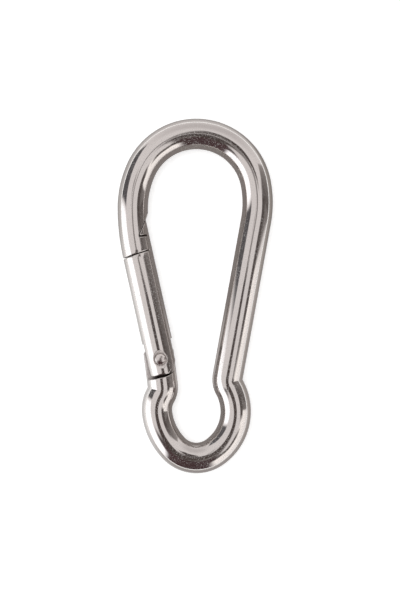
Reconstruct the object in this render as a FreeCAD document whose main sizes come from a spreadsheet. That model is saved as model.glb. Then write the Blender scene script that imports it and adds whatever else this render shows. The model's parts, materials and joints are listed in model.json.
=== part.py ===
"""Spring snap hook: one bent round bar with a large bow and a small eye, and a spring gate.

The hook lies flat.  The origin is the centre of the eye in the bar's middle plane, +X points
to the bar's closed back, +Y points up the hook to the bow and +Z stands out of its plane.
"""
import FreeCAD, Part
import math
import os
import Sketcher

Vector = FreeCAD.Vector

# Sides of the spring wire's section, whose corners lie on the round wire.
WIRE_SIDES = 8

# How far off a plane, in millimetres, an edge may lie and still count as lying on it.
ON_PLANE = 0.001

# Driving dimensions: name, value (millimetres or degrees) and meaning.
SIZES = [
    # The bar and its bends, as centreline radii and turns, from the eye's lowest point.
    ("bar_diameter", 12.0, "round bar of the hook and the gate"),
    ("eye_bend_radius", 12.3, "bottom of the eye"),
    ("eye_back_turn", 34.4, "bottom bend towards the back"),
    ("eye_back_side_radius", 19.7, "side of the eye under the back"),
    ("eye_back_side_turn", 84.6, "turn of that side"),
    ("neck_fold_radius", 0.25, "inside radius of the two tight folds at the neck"),
    ("back_fold_turn", 39.3, "fold from the eye into the back"),
    ("back_length", 62.3, "straight back"),
    ("shoulder_radius", 41.0, "bend from the back to the crown"),
    ("shoulder_turn", 21.2, "turn of that bend"),
    ("crown_radius", 23.9, "crown of the bow"),
    ("crown_turn", 144.7, "turn of the crown"),
    ("brow_radius", 37.0, "bend from the crown to the nose"),
    ("brow_turn", 24.7, "turn of that bend"),
    ("nose_radius", 85.7, "slow bend that ends in the nose"),
    ("nose_turn", 12.1, "turn of that bend"),
    ("eye_gate_turn", 46.3, "bottom bend towards the gate"),
    ("eye_gate_side_radius", 24.52, "side of the eye under the gate"),
    ("eye_gate_side_turn", 36.6, "turn of that side"),
    ("eye_gate_top_radius", 11.6, "top of the eye under the gate"),
    ("eye_gate_top_turn", 36.7, "turn of that top"),
    ("gate_fold_turn", 36.9, "fold from the eye into the hinge leg"),
    ("leg_length", 10.46, "hinge leg, from the fold to the rivet"),
    ("rivet_inset", 0.6, "rivet's distance from the leg's centreline, into the bow"),
    # The joint between the nose and the gate, measured in the gate's own frame.
    ("joint_gap", 0.4, "gap between the nose and the gate's end"),
    ("joint_slope", 6.2, "tilt of that gap away from square"),
    ("tongue_thickness", 5.8, "flat tongue at the gate's end"),
    ("tongue_depth", 3.5, "how deep the tongue and its head reach in from the inner side"),
    ("tongue_side_clearance", 0.2, "slot wall to tongue, each side"),
    ("barb_height", 6.9, "joint to the barb's bearing face"),
    ("barb_slope", 3.0, "undercut of the barb's bearing face"),
    ("barb_length", 5.5, "bearing face to the barb's point"),
    ("load_gap", 0.8, "barb's bearing face to the nose's fingers"),
    ("barb_clearance", 0.3, "all other faces of the barb to the notch"),
    # The hinge, measured from the rivet in the gate's own frame.
    ("hinge_thickness", 5.0, "flat hinge tongue of the hook"),
    ("hinge_side_clearance", 0.2, "fork cheek to hinge tongue, each side"),
    ("fork_depth", 7.0, "rivet to the bottom of the fork's slot"),
    ("heel_length", 6.2, "rivet to the gate's end"),
    ("heel_round", 2.2, "outer corner of the gate's end"),
    ("toe_width", 4.0, "slanted inner corner of the gate's end, across"),
    ("toe_length", 4.9, "slanted inner corner of the gate's end, along"),
    ("toe_bulge_radius", 40.0, "roundness of that slant"),
    ("heel_gap", 1.0, "gate's end to the hook's shoulder"),
    ("cam_height", 4.2, "rivet to the flat top of the hinge tongue"),
    ("cam_reach", 2.0, "rivet's centreline to the end of that flat"),
    ("cam_round_extra", 0.4, "cam radius beyond the cam height"),
    ("cam_outer_round", 3.0, "outer corner of the hinge tongue"),
    # The rivet.
    ("shank_diameter", 3.4, "rivet shank"),
    ("shank_running_clearance", 0.06, "shank to the hinge tongue's hole, radial"),
    ("shank_grip_clearance", 0.01, "shank to the gate's cheeks, radial"),
    ("head_diameter", 4.3, "rivet head"),
    ("head_height", 1.0, "crown of the head above its seat"),
    ("head_sink", 0.3, "crown of the head below the bar's surface"),
    ("head_flat", 2.2, "flat middle of the crown, across"),
    ("head_taper", 0.5, "fall of the crown from that flat to the head's rim"),
    ("crater_floor_clearance", 0.1, "head's rim to the crater's floor edge"),
    ("crater_flare", 0.8, "crater's mouth beyond its floor, radial"),
    # The return spring and its plunger, in the gate's bore.
    ("plunger_diameter", 4.8, "flat-faced plunger"),
    ("plunger_head_length", 7.4, "plunger's face to its shoulder"),
    ("plunger_pin_diameter", 2.7, "pin that guides the spring"),
    ("plunger_pin_length", 4.0, "length of that pin"),
    ("plunger_clearance", 0.05, "plunger to the bore, radial"),
    ("cam_clearance", 0.05, "plunger's face to the cam at rest"),
    ("wire_diameter", 0.9, "spring wire"),
    ("coil_clearance", 0.1, "spring to the bore, radial"),
    ("coil_pitch", 2.3, "rise of one turn as fitted"),
    ("coil_turns", 5.5, "turns of the spring"),
    ("seat_clearance", 0.02, "spring's ends to their seats"),
    ("edge_break", 0.4, "bevel round the bar's cut ends"),
]


class Dim:
    """A length or an angle: its number, and the expression over the sheet that gives it."""

    def __init__(self, value, text):
        self.value = float(value)
        self.text = text

    def __add__(self, other):
        other = as_dim(other)
        return Dim(self.value + other.value, f"({self.text} + {other.text})")

    def __sub__(self, other):
        other = as_dim(other)
        return Dim(self.value - other.value, f"({self.text} - {other.text})")

    def __mul__(self, other):
        other = as_dim(other)
        return Dim(self.value * other.value, f"({self.text} * {other.text})")

    def __truediv__(self, other):
        other = as_dim(other)
        return Dim(self.value / other.value, f"({self.text} / {other.text})")

    def __neg__(self):
        return Dim(-self.value, f"(0 - {self.text})")


def as_dim(value):
    return value if isinstance(value, Dim) else Dim(value, repr(float(value)))


def tan(angle):
    return Dim(math.tan(math.radians(angle.value)), f"tan({angle.text} * 1deg)")


def long_side(a, b):
    """Hypotenuse over the short sides a and b."""
    return Dim(math.hypot(a.value, b.value), f"sqrt({a.text} ^ 2 + {b.text} ^ 2)")


def short_side(long, other):
    """The short side that goes with the hypotenuse long and the short side other."""
    value = math.sqrt(long.value ** 2 - other.value ** 2)
    return Dim(value, f"sqrt({long.text} ^ 2 - {other.text} ^ 2)")


class Sizes:
    """The driving dimensions as Dims, read from the sheet by name."""

    def __init__(self, sheet):
        for name, _, _ in SIZES:
            setattr(self, name, Dim(sheet.get(name), f"Sizes.{name}"))


def make_sheet(doc):
    sheet = doc.addObject("Spreadsheet::Sheet", "Sizes")
    for row, (name, value, meaning) in enumerate(SIZES, start=1):
        sheet.set(f"A{row}", name)
        sheet.set(f"B{row}", str(value))
        sheet.set(f"C{row}", meaning)
        sheet.setAlias(f"B{row}", name)
    doc.recompute()
    return sheet


# ---------------------------------------------------------------- sketch helpers


def origin_plane(body, role):
    return next(f for f in body.Origin.OriginFeatures if f.Role == role)


def new_sketch(body, name, role="XY_Plane", offset=None):
    sketch = body.newObject("Sketcher::SketchObject", name)
    sketch.AttachmentSupport = [(origin_plane(body, role), "")]
    sketch.MapMode = "FlatFace"
    if offset is not None:
        sketch.AttachmentOffset = offset
    return sketch


def drive(sketch, constraint, name, dim, unit=""):
    """Add a named constraint and bind it to the sheet."""
    sketch.addConstraint(constraint)
    sketch.renameConstraint(sketch.ConstraintCount - 1, name)
    sketch.setExpression(f"Constraints.{name}", dim.text + unit)


def pin(sketch, geometry, vertex, name, x, y):
    """Hold one vertex at x, y from the sketch's origin."""
    for axis, label, dim in (("DistanceX", "x", x), ("DistanceY", "y", y)):
        dim = as_dim(dim)
        held = Sketcher.Constraint(axis, -1, 1, geometry, vertex, dim.value)
        drive(sketch, held, f"{name}_{label}", dim)


def bulged_arc(start, end, radius):
    """Centre and angles of the arc that bulges to the right of start-to-end (left if negative)."""
    chord = end - start
    half = chord.Length / 2
    rise = math.sqrt(max(radius * radius - half * half, 0.0))
    left = Vector(-chord.y, chord.x, 0).normalize()
    centre = (start + end) * 0.5 + left * math.copysign(rise, radius)
    first, last = (start, end) if radius > 0 else (end, start)
    angles = [math.atan2(p.y - centre.y, p.x - centre.x) for p in (first, last)]
    return centre, angles


def closed_outline(sketch, corners):
    """Draw a closed outline through corners (name, x, y, radius of the arc to the next or None)."""
    points = [Vector(as_dim(x).value, as_dim(y).value, 0) for _, x, y, _ in corners]
    ends = []
    for index, (name, x, y, radius) in enumerate(corners):
        start, end = points[index], points[(index + 1) % len(points)]
        if radius is None:
            geometry = sketch.addGeometry(Part.LineSegment(start, end), False)
            ends.append((geometry, 1, 2))
        else:
            centre, (low, high) = bulged_arc(start, end, radius.value)
            circle = Part.Circle(centre, Vector(0, 0, 1), abs(radius.value))
            geometry = sketch.addGeometry(Part.ArcOfCircle(circle, low, high), False)
            ends.append((geometry, 1, 2) if radius.value > 0 else (geometry, 2, 1))
    for index, (geometry, _, finish) in enumerate(ends):
        following, begin, _ = ends[(index + 1) % len(ends)]
        sketch.addConstraint(Sketcher.Constraint("Coincident", geometry, finish, following, begin))
    for (name, x, y, radius), (geometry, begin, _) in zip(corners, ends):
        pin(sketch, geometry, begin, name, x, y)
        if radius is not None:
            size = radius if radius.value > 0 else -radius
            drive(sketch, Sketcher.Constraint("Radius", geometry, size.value), f"{name}_round", size)


def circle_outline(sketch, radius):
    sketch.addGeometry(Part.Circle(Vector(0, 0, 0), Vector(0, 0, 1), radius.value), False)
    sketch.addConstraint(Sketcher.Constraint("Coincident", 0, 3, -1, 1))
    drive(sketch, Sketcher.Constraint("Radius", 0, radius.value), "radius", radius)


# ---------------------------------------------------------------- feature helpers


def cut_through(body, name, sketch, width=None):
    """Pocket both ways from the sketch: right through, or over a stated width."""
    pocket = body.newObject("PartDesign::Pocket", name)
    pocket.Profile = sketch
    pocket.SideType = "Symmetric"
    if width is None:
        pocket.Type = "ThroughAll"
    else:
        pocket.Type = "Length"
        pocket.setExpression("Length", width.text)
    return finish_cut(body, pocket)


def cut_flats(body, name, sketch):
    """Pocket outwards from a raised sketch, and again on the other side of the middle plane."""
    pocket = body.newObject("PartDesign::Pocket", name)
    pocket.Profile = sketch
    pocket.Type = "ThroughAll"
    pocket.Reversed = True
    return mirror_cut(body, finish_cut(body, pocket))


def mirror_cut(body, feature):
    mirror = body.newObject("PartDesign::Mirrored", feature.Name + "_far_side")
    mirror.Originals = [feature]
    mirror.MirrorPlane = (origin_plane(body, "XY_Plane"), [""])
    body.Tip = mirror
    return finish_cut(body, mirror, feature)


def finish_cut(body, feature, base=None):
    """Recompute, and make sure that the feature took something away from its base."""
    before = (base or feature.BaseFeature).Shape.Volume
    body.Document.recompute()
    if not feature.Shape.Volume < before:
        raise RuntimeError(f"{feature.Name} removes nothing")
    return feature


def rim_edges(shape, frame, height, slope):
    """Names of the curved edges on the plane that rises by slope through (0, height) of frame."""
    names = []
    for index, edge in enumerate(shape.Edges, start=1):
        spots = [edge.valueAt(edge.ParameterRange[0]), edge.CenterOfMass]
        spots.append(edge.valueAt(edge.ParameterRange[1]))
        local = [frame.inverse().multVec(spot) for spot in spots]
        off = max(abs(p.y - height.value - p.x * slope.value) for p in local)
        if off < ON_PLANE and not isinstance(edge.Curve, Part.Line):
            names.append(f"Edge{index}")
    return names


def bevel_rim(body, name, frame, height, slope, width):
    """Bevel the rim where the bar's surface meets one of its cut ends."""
    base = body.Tip
    bevel = body.newObject("PartDesign::Chamfer", name)
    bevel.Base = (base, rim_edges(base.Shape, frame, height, slope))
    bevel.setExpression("Size", width.text)
    return finish_cut(body, bevel, base)


def turned(body, name, sketch, axis="V_Axis", kind="Revolution"):
    feature = body.newObject("PartDesign::" + kind, name)
    feature.Profile = sketch
    feature.ReferenceAxis = (sketch, [axis])
    feature.Angle = 360
    body.Document.recompute()
    return feature


def new_body(doc, name):
    body = doc.addObject("PartDesign::Body", name)
    body.Label = name
    return body


# ---------------------------------------------------------------- the hook's bar


def bar_route(size):
    """The bends from the eye's lowest point: up the back to the nose, and up to the rivet."""
    fold = size.bar_diameter / 2 + size.neck_fold_radius
    to_nose = [
        ("eye_back", size.eye_bend_radius, size.eye_back_turn),
        ("eye_back_side", size.eye_back_side_radius, size.eye_back_side_turn),
        ("back_fold", fold, -size.back_fold_turn),
        ("back", size.back_length, None),
        ("shoulder", size.shoulder_radius, size.shoulder_turn),
        ("crown", size.crown_radius, size.crown_turn),
        ("brow", size.brow_radius, size.brow_turn),
        ("nose", size.nose_radius, size.nose_turn),
        ("nose_spare", size.bar_diameter / 4, None),
    ]
    to_rivet = [
        ("eye_gate", size.eye_bend_radius, -size.eye_gate_turn),
        ("eye_gate_side", size.eye_gate_side_radius, -size.eye_gate_side_turn),
        ("eye_gate_top", size.eye_gate_top_radius, -size.eye_gate_top_turn),
        ("gate_fold", fold, size.gate_fold_turn),
        ("leg", size.leg_length, None),
        ("leg_spare", size.cam_height + size.bar_diameter / 4, None),
    ]
    return to_nose, to_rivet


def step_along(point, heading, length, turn):
    """One straight run, or one arc of radius length: its end, end heading and centre."""
    angle = math.radians(heading)
    if turn is None:
        return point + Vector(math.cos(angle), math.sin(angle), 0) * length.value, heading, None
    side = math.copysign(1.0, turn.value)
    to_centre = Vector(-math.sin(angle), math.cos(angle), 0) * side * length.value
    centre = point + to_centre
    spin = FreeCAD.Rotation(Vector(0, 0, 1), turn.value)
    return centre + spin.multVec(-to_centre), heading + turn.value, centre


def draw_route(sketch, start, heading, route):
    """Draw tangent runs and arcs, bound to the sheet; return where each of them ends."""
    stations = {}
    point = start
    previous = None
    for name, length, turn in route:
        end, heading, centre = step_along(point, heading, length, turn)
        if turn is None:
            geometry = sketch.addGeometry(Part.LineSegment(point, end), False)
            first, last = 1, 2
            size = Sketcher.Constraint("Distance", geometry, length.value)
        else:
            leftward = turn.value > 0
            low, high = (point, end) if leftward else (end, point)
            angles = [math.atan2(p.y - centre.y, p.x - centre.x) for p in (low, high)]
            circle = Part.Circle(centre, Vector(0, 0, 1), length.value)
            geometry = sketch.addGeometry(Part.ArcOfCircle(circle, *angles), False)
            first, last = (1, 2) if leftward else (2, 1)
            size = Sketcher.Constraint("Radius", geometry, length.value)
            span = turn if leftward else -turn
            spread = Sketcher.Constraint("Angle", geometry, math.radians(span.value))
            drive(sketch, spread, name + "_turn", span, " * 1deg")
        if previous is not None:
            sketch.addConstraint(Sketcher.Constraint("Tangent", *previous, geometry, first))
        else:
            sketch.addConstraint(Sketcher.Constraint("Coincident", geometry, 3, -1, 1))
            sketch.addConstraint(Sketcher.Constraint("PointOnObject", geometry, first, -2))
        drive(sketch, size, name + "_size", length)
        previous = (geometry, last)
        stations[name] = (end, heading, geometry)
        point = end
    return stations


def draw_centreline(body, size):
    """The bar's centreline, with the gate's axis as a construction line from rivet to nose."""
    sketch = new_sketch(body, "centreline")
    to_nose, to_rivet = bar_route(size)
    lowest = Vector(0, -size.eye_bend_radius.value, 0)
    nose_side = draw_route(sketch, lowest, 0.0, to_nose)
    gate_side = draw_route(sketch, lowest, 180.0, to_rivet)
    order = [nose_side[name][2] for name, _, _ in reversed(to_nose)]
    order += [gate_side[name][2] for name, _, _ in to_rivet]
    edges = [f"Edge{index + 1}" for index in order]
    leg_end, leg_heading, leg = gate_side["leg"]
    inward = FreeCAD.Rotation(Vector(0, 0, 1), leg_heading).multVec(Vector(0, -1, 0))
    rivet = leg_end + inward * size.rivet_inset.value
    inset = sketch.addGeometry(Part.LineSegment(leg_end, rivet), True)
    sketch.addConstraint(Sketcher.Constraint("Coincident", leg, 2, inset, 1))
    sketch.addConstraint(Sketcher.Constraint("Perpendicular", leg, inset))
    held = Sketcher.Constraint("Distance", inset, size.rivet_inset.value)
    drive(sketch, held, "rivet_inset", size.rivet_inset)
    axis = sketch.addGeometry(Part.LineSegment(rivet, nose_side["nose"][0]), True)
    sketch.addConstraint(Sketcher.Constraint("Coincident", inset, 2, axis, 1))
    nose_end = (nose_side["nose"][2], 2)
    sketch.addConstraint(Sketcher.Constraint("Coincident", axis, 2, *nose_end))
    measures = (
        ("gate_length", Sketcher.Constraint("Distance", axis, 1.0)),
        ("gate_heading", Sketcher.Constraint("Angle", axis, 1.0)),
        ("rivet_x", Sketcher.Constraint("DistanceX", -1, 1, axis, 1, 1.0)),
        ("rivet_y", Sketcher.Constraint("DistanceY", -1, 1, axis, 1, 1.0)),
    )
    for name, constraint in measures:
        sketch.addConstraint(constraint)
        sketch.setDriving(sketch.ConstraintCount - 1, False)
        sketch.renameConstraint(sketch.ConstraintCount - 1, name)
    body.Document.recompute()
    return sketch, edges, gate_side["leg_spare"]


def hang_on_gate_frame(owner, prop, height=None):
    """Bind a placement to the rivet, with +Y along the gate to the middle of the nose's end."""
    source = "centreline.Constraints"
    setattr(owner, prop, FreeCAD.Placement(Vector(), FreeCAD.Rotation(Vector(0, 0, 1), 1.0)))
    owner.setExpression(f"{prop}.Base.x", f"{source}.rivet_x")
    owner.setExpression(f"{prop}.Base.y", f"{source}.rivet_y")
    owner.setExpression(f"{prop}.Rotation.Angle", f"{source}.gate_heading - 90deg")
    if height is not None:
        owner.setExpression(f"{prop}.Base.z", height.text)


def gate_sketch(body, name, height=None):
    """A sketch of the hook's body, drawn in the gate's frame."""
    sketch = new_sketch(body, name)
    hang_on_gate_frame(sketch, "AttachmentOffset", height)
    return sketch


def make_bar(body, size, centreline, edges, tip):
    """The whole bent bar in one sweep, spare at both ends."""
    end, heading, _ = tip
    along = FreeCAD.Rotation(Vector(0, 0, 1), heading).multVec(Vector(1, 0, 0))
    across = Vector(-along.y, along.x, 0)
    facing = FreeCAD.Rotation(across, Vector(0, 0, 1), along, "ZXY")
    section = new_sketch(body, "bar_section", offset=FreeCAD.Placement(end, facing))
    circle_outline(section, size.bar_diameter / 2)
    bar = body.newObject("PartDesign::AdditivePipe", "bent_bar")
    bar.Profile = section
    bar.Spine = (centreline, list(reversed(edges)))
    body.Document.recompute()
    return bar


def cut_nose(body, size, gate_length):
    """The nose's end: a sloped face, a notch for the gate's barb and a slot for its tongue."""
    radius = size.bar_diameter / 2
    clear = size.bar_diameter
    slope = tan(size.joint_slope)
    face = gate_length + size.joint_gap / 2
    end = gate_sketch(body, "nose_end")
    closed_outline(end, [
        ("outer_top", -clear, face - clear * slope, None),
        ("outer_low", -clear, face - clear, None),
        ("inner_low", clear, face - clear, None),
        ("inner_top", clear, face + clear * slope, None),
    ])
    cut_through(body, "nose_face", end)

    root = radius - size.tongue_depth
    bearing = gate_length + size.barb_height
    fall = tan(size.barb_slope)
    gap = size.barb_clearance
    slant = long_side(size.barb_length, size.tongue_depth)
    back_off = gap * slant / size.tongue_depth
    run_on = gap * size.barb_length / size.tongue_depth
    mouth = bearing + back_off + (clear - root) * size.barb_length / size.tongue_depth
    notch = gate_sketch(body, "barb_notch")
    closed_outline(notch, [
        ("finger_root", root - gap, bearing - size.load_gap, None),
        ("finger_mouth", clear, bearing - size.load_gap - (clear - root) * fall, None),
        ("slope_mouth", clear, mouth, None),
        ("barb_root", root - gap, bearing + back_off - run_on, None),
    ])
    cut_through(body, "notch", notch)

    slot = gate_sketch(body, "tongue_slot")
    closed_outline(slot, [
        ("web_low", root - gap, gate_length - clear, None),
        ("mouth_low", clear, gate_length - clear, None),
        ("mouth_top", clear, bearing, None),
        ("web_top", root - gap, bearing, None),
    ])
    width = size.tongue_thickness + size.tongue_side_clearance * 2
    cut_through(body, "slot", slot, width)
    bevel_rim(body, "nose_rim", end.Placement, face, slope, size.edge_break)


def cut_hinge_tongue(body, size):
    """The flat hinge tongue: cam-topped outline, flats up to a curved shoulder, rivet hole."""
    clear = size.bar_diameter
    radius = size.bar_diameter / 2
    cam_radius = size.cam_height + size.cam_round_extra
    outer = -(radius + size.rivet_inset * 2)
    rounding = size.cam_outer_round
    cam = gate_sketch(body, "cam_outline")
    inner = radius - size.rivet_inset / 2
    reach = inner - size.cam_reach
    inner_top = short_side(cam_radius, reach) - size.cam_round_extra
    closed_outline(cam, [
        ("outer_side", outer, size.cam_height - rounding, -rounding),
        ("outer_top", outer + rounding, size.cam_height, None),
        ("flat_end", size.cam_reach, size.cam_height, -cam_radius),
        ("inner_side", inner, inner_top, None),
        ("clear_inner", clear, inner_top, None),
        ("clear_inner_top", clear, clear, None),
        ("clear_outer_top", -clear, clear, None),
        ("clear_outer", -clear, size.cam_height - rounding, None),
    ])
    cut_through(body, "cam", cam)

    sweep = size.heel_length + size.heel_gap
    flats = gate_sketch(body, "shoulder", size.hinge_thickness / 2)
    closed_outline(flats, [
        ("outer_low", -clear, -sweep, None),
        ("arc_start", 0, -sweep, sweep),
        ("arc_end", sweep, 0, None),
        ("inner_low", clear, 0, None),
        ("inner_top", clear, clear, None),
        ("outer_top", -clear, clear, None),
    ])
    cut_flats(body, "cheek_flats", flats)

    hole = gate_sketch(body, "rivet_hole")
    circle_outline(hole, size.shank_diameter / 2 + size.shank_running_clearance)
    cut_through(body, "rivet_bore", hole)


def make_hook_body(doc, size):
    body = new_body(doc, "hook_body")
    centreline, edges, tip = draw_centreline(body, size)
    make_bar(body, size, centreline, edges, tip)
    length = centreline.getDatum("gate_length").Value
    gate_length = Dim(length, "(centreline.Constraints.gate_length / 1mm)")
    cut_nose(body, size, gate_length)
    cut_hinge_tongue(body, size)
    return body, gate_length


# ---------------------------------------------------------------- the gate and its pieces


def make_gate(doc, size, gate_length):
    """Round gate: barbed tongue at the nose, fork and rivet craters at the hinge, spring bore."""
    body = new_body(doc, "gate")
    hang_on_gate_frame(body, "Placement")
    radius = size.bar_diameter / 2
    clear = size.bar_diameter
    bearing = gate_length + size.barb_height
    point = bearing + size.barb_length
    bar = new_sketch(body, "gate_bar")
    closed_outline(bar, [
        ("heel_axis", 0, -size.heel_length, None),
        ("heel_side", radius, -size.heel_length, None),
        ("point_side", radius, point, None),
        ("point_axis", 0, point, None),
    ])
    turned(body, "round_bar", bar)

    slope = tan(size.joint_slope)
    face = gate_length - size.joint_gap / 2
    root = radius - size.tongue_depth
    tongue = new_sketch(body, "tongue_outline")
    closed_outline(tongue, [
        ("outer_face", -clear, face - clear * slope, None),
        ("tongue_foot", root, face + root * slope, None),
        ("barb_root", root, bearing, None),
        ("barb_point", radius, point, None),
        ("clear_point", radius, point + clear, None),
        ("clear_top", -clear, point + clear, None),
    ])
    cut_through(body, "tongue_side", tongue)

    fall = tan(size.barb_slope)
    flats = new_sketch(body, "tongue_flats")
    hang_height(flats, size.tongue_thickness / 2)
    closed_outline(flats, [
        ("foot_outer", -clear, face - clear * slope, None),
        ("foot_inner", clear, face + clear * slope, None),
        ("bearing_inner", clear, bearing - (clear - root) * fall, None),
        ("bearing_root", root, bearing, None),
        ("bearing_outer", -clear, bearing, None),
    ])
    cut_flats(body, "tongue_cheeks", flats)
    own_frame = FreeCAD.Placement()
    bevel_rim(body, "gate_rim", own_frame, face, slope, size.edge_break)

    slot_width = size.hinge_thickness + size.hinge_side_clearance * 2
    fork = new_sketch(body, "fork_slot")
    closed_outline(fork, [
        ("low_outer", -clear, -clear, None),
        ("low_inner", clear, -clear, None),
        ("top_inner", clear, size.fork_depth, None),
        ("top_outer", -clear, size.fork_depth, None),
    ])
    cut_through(body, "fork", fork, slot_width)

    heel = new_sketch(body, "heel_corner")
    closed_outline(heel, [
        ("side", -radius, size.heel_round - size.heel_length, size.heel_round),
        ("end", size.heel_round - radius, -size.heel_length, None),
        ("clear_end", size.heel_round - radius, -clear, None),
        ("clear_corner", -clear, -clear, None),
        ("clear_side", -clear, size.heel_round - size.heel_length, None),
    ])
    cut_through(body, "heel", heel)
    toe = new_sketch(body, "toe_corner")
    closed_outline(toe, [
        ("end", radius - size.toe_width, -size.heel_length, size.toe_bulge_radius),
        ("side", radius, size.toe_length - size.heel_length, None),
        ("clear_side", clear, size.toe_length - size.heel_length, None),
        ("clear_corner", clear, -clear, None),
        ("clear_end", radius - size.toe_width, -clear, None),
    ])
    cut_through(body, "toe", toe)
    bevel_rim(body, "heel_rim", own_frame, -size.heel_length, as_dim(0), size.edge_break)

    hole = new_sketch(body, "cheek_hole")
    circle_outline(hole, size.shank_diameter / 2 + size.shank_grip_clearance)
    cut_through(body, "cheek_holes", hole)

    seat = radius - size.head_sink - size.head_height
    floor = size.head_diameter / 2 + size.crater_floor_clearance
    depth = radius - seat
    crater = new_sketch(body, "crater_profile", "XZ_Plane")
    closed_outline(crater, [
        ("floor_axis", 0, seat, None),
        ("floor_edge", floor, seat, None),
        ("mouth", floor + size.crater_flare, seat + depth, None),
        ("mouth_axis", 0, seat + depth, None),
    ])
    mirror_cut(body, finish_cut(body, turned(body, "crater", crater, kind="Groove")))

    bore = size.plunger_diameter / 2 + size.plunger_clearance
    seat = spring_seat(size)
    drill = new_sketch(body, "bore_profile")
    closed_outline(drill, [
        ("mouth_axis", 0, 0, None),
        ("mouth", bore, 0, None),
        ("seat_edge", bore, seat, None),
        ("drill_point", 0, seat + bore / 2, None),
    ])
    finish_cut(body, turned(body, "spring_bore", drill, kind="Groove"))
    return body


def hang_height(sketch, height):
    sketch.setExpression("AttachmentOffset.Base.z", height.text)


def plunger_face(size):
    return size.cam_height + size.cam_clearance


def spring_foot(size):
    return plunger_face(size) + size.plunger_head_length + size.seat_clearance


def spring_seat(size):
    """The end of the bore's straight wall, where the last turn bears on the drill's cone."""
    return spring_foot(size) + size.coil_pitch * size.coil_turns + size.wire_diameter + size.seat_clearance


def make_rivet(doc, size):
    body = new_body(doc, "hinge_rivet")
    hang_on_gate_frame(body, "Placement")
    shank = size.shank_diameter / 2
    head = size.head_diameter / 2
    flat = size.head_flat / 2
    top = size.bar_diameter / 2 - size.head_sink
    rim = top - size.head_taper
    seat = top - size.head_height
    profile = new_sketch(body, "rivet_profile", "XZ_Plane")
    closed_outline(profile, [
        ("low_pole", 0, -top, None),
        ("low_flat", flat, -top, None),
        ("low_rim", head, -rim, None),
        ("low_seat", head, -seat, None),
        ("low_shank", shank, -seat, None),
        ("high_shank", shank, seat, None),
        ("high_seat", head, seat, None),
        ("high_rim", head, rim, None),
        ("high_flat", flat, top, None),
        ("high_pole", 0, top, None),
    ])
    turned(body, "rivet", profile)
    return body


def make_plunger(doc, size):
    body = new_body(doc, "spring_plunger")
    hang_on_gate_frame(body, "Placement")
    low = plunger_face(size)
    shoulder = low + size.plunger_head_length
    outside = size.plunger_diameter / 2
    pin = size.plunger_pin_diameter / 2
    bevel = size.edge_break / 2
    profile = new_sketch(body, "plunger_profile")
    closed_outline(profile, [
        ("face_axis", 0, low, None),
        ("face_edge", outside - bevel, low, None),
        ("side_low", outside, low + bevel, None),
        ("side_top", outside, shoulder, None),
        ("pin_foot", pin, shoulder, None),
        ("pin_side", pin, shoulder + size.plunger_pin_length - bevel, None),
        ("pin_edge", pin - bevel, shoulder + size.plunger_pin_length, None),
        ("pin_axis", 0, shoulder + size.plunger_pin_length, None),
    ])
    turned(body, "plunger", profile)
    return body


def make_spring(doc, size):
    body = new_body(doc, "return_spring")
    hang_on_gate_frame(body, "Placement")
    bore = size.plunger_diameter / 2 + size.plunger_clearance
    wire = size.wire_diameter / 2
    coil = bore - size.coil_clearance - wire
    foot = spring_foot(size) + wire
    corners = []
    for index in range(WIRE_SIDES):
        turn = 2 * math.pi * (index + 0.5) / WIRE_SIDES
        across, along = coil + wire * math.cos(turn), foot + wire * math.sin(turn)
        corners.append((f"corner{index + 1}", across, along, None))
    section = new_sketch(body, "wire_section")
    closed_outline(section, corners)
    coils = body.newObject("PartDesign::AdditiveHelix", "coils")
    coils.Profile = section
    coils.ReferenceAxis = (section, ["V_Axis"])
    coils.Mode = "pitch-turns-angle"
    coils.setExpression("Pitch", size.coil_pitch.text)
    coils.setExpression("Turns", size.coil_turns.text)
    doc.recompute()
    return body


def check_and_write(doc, bodies):
    """Stop on any failed object or bad solid; otherwise write one STEP file for each body."""
    doc.recompute()
    for thing in doc.Objects:
        if {"Invalid", "Error"} & set(thing.State):
            raise RuntimeError(f"{thing.Label} failed: {thing.State}")
    for body in bodies:
        shape = body.Shape
        if shape.isNull() or not shape.isValid() or len(shape.Solids) != 1:
            raise RuntimeError(f"{body.Label} isn't one valid solid")
    os.makedirs("parts", exist_ok=True)
    for body in bodies:
        body.Shape.exportStep(f"parts/{body.Label}.step")
        print(body.Label, round(body.Shape.Volume, 1), "mm3")


def main():
    doc = FreeCAD.newDocument("spring_snap_hook")
    size = Sizes(make_sheet(doc))
    hook_body, gate_length = make_hook_body(doc, size)
    bodies = [hook_body, make_gate(doc, size, gate_length)]
    bodies += [make_rivet(doc, size), make_plunger(doc, size), make_spring(doc, size)]
    check_and_write(doc, bodies)


main()
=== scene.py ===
"""Looks of a spring snap hook: bent bar, sprung gate, rivet, plunger and spring, in a light tent.

Laid out as an add-on and run as a script.  Everything is in metres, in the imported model's frame:
the origin is the centre of the eye, +X points to the closed back and +Y up the hook to the bow.
"""
import bmesh
import bpy
import json
import math
from typing import NamedTuple
from bpy.props import FloatProperty, FloatVectorProperty, IntProperty, PointerProperty
from bpy.types import Operator, Panel, PropertyGroup
from mathutils import Matrix, Vector


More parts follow.
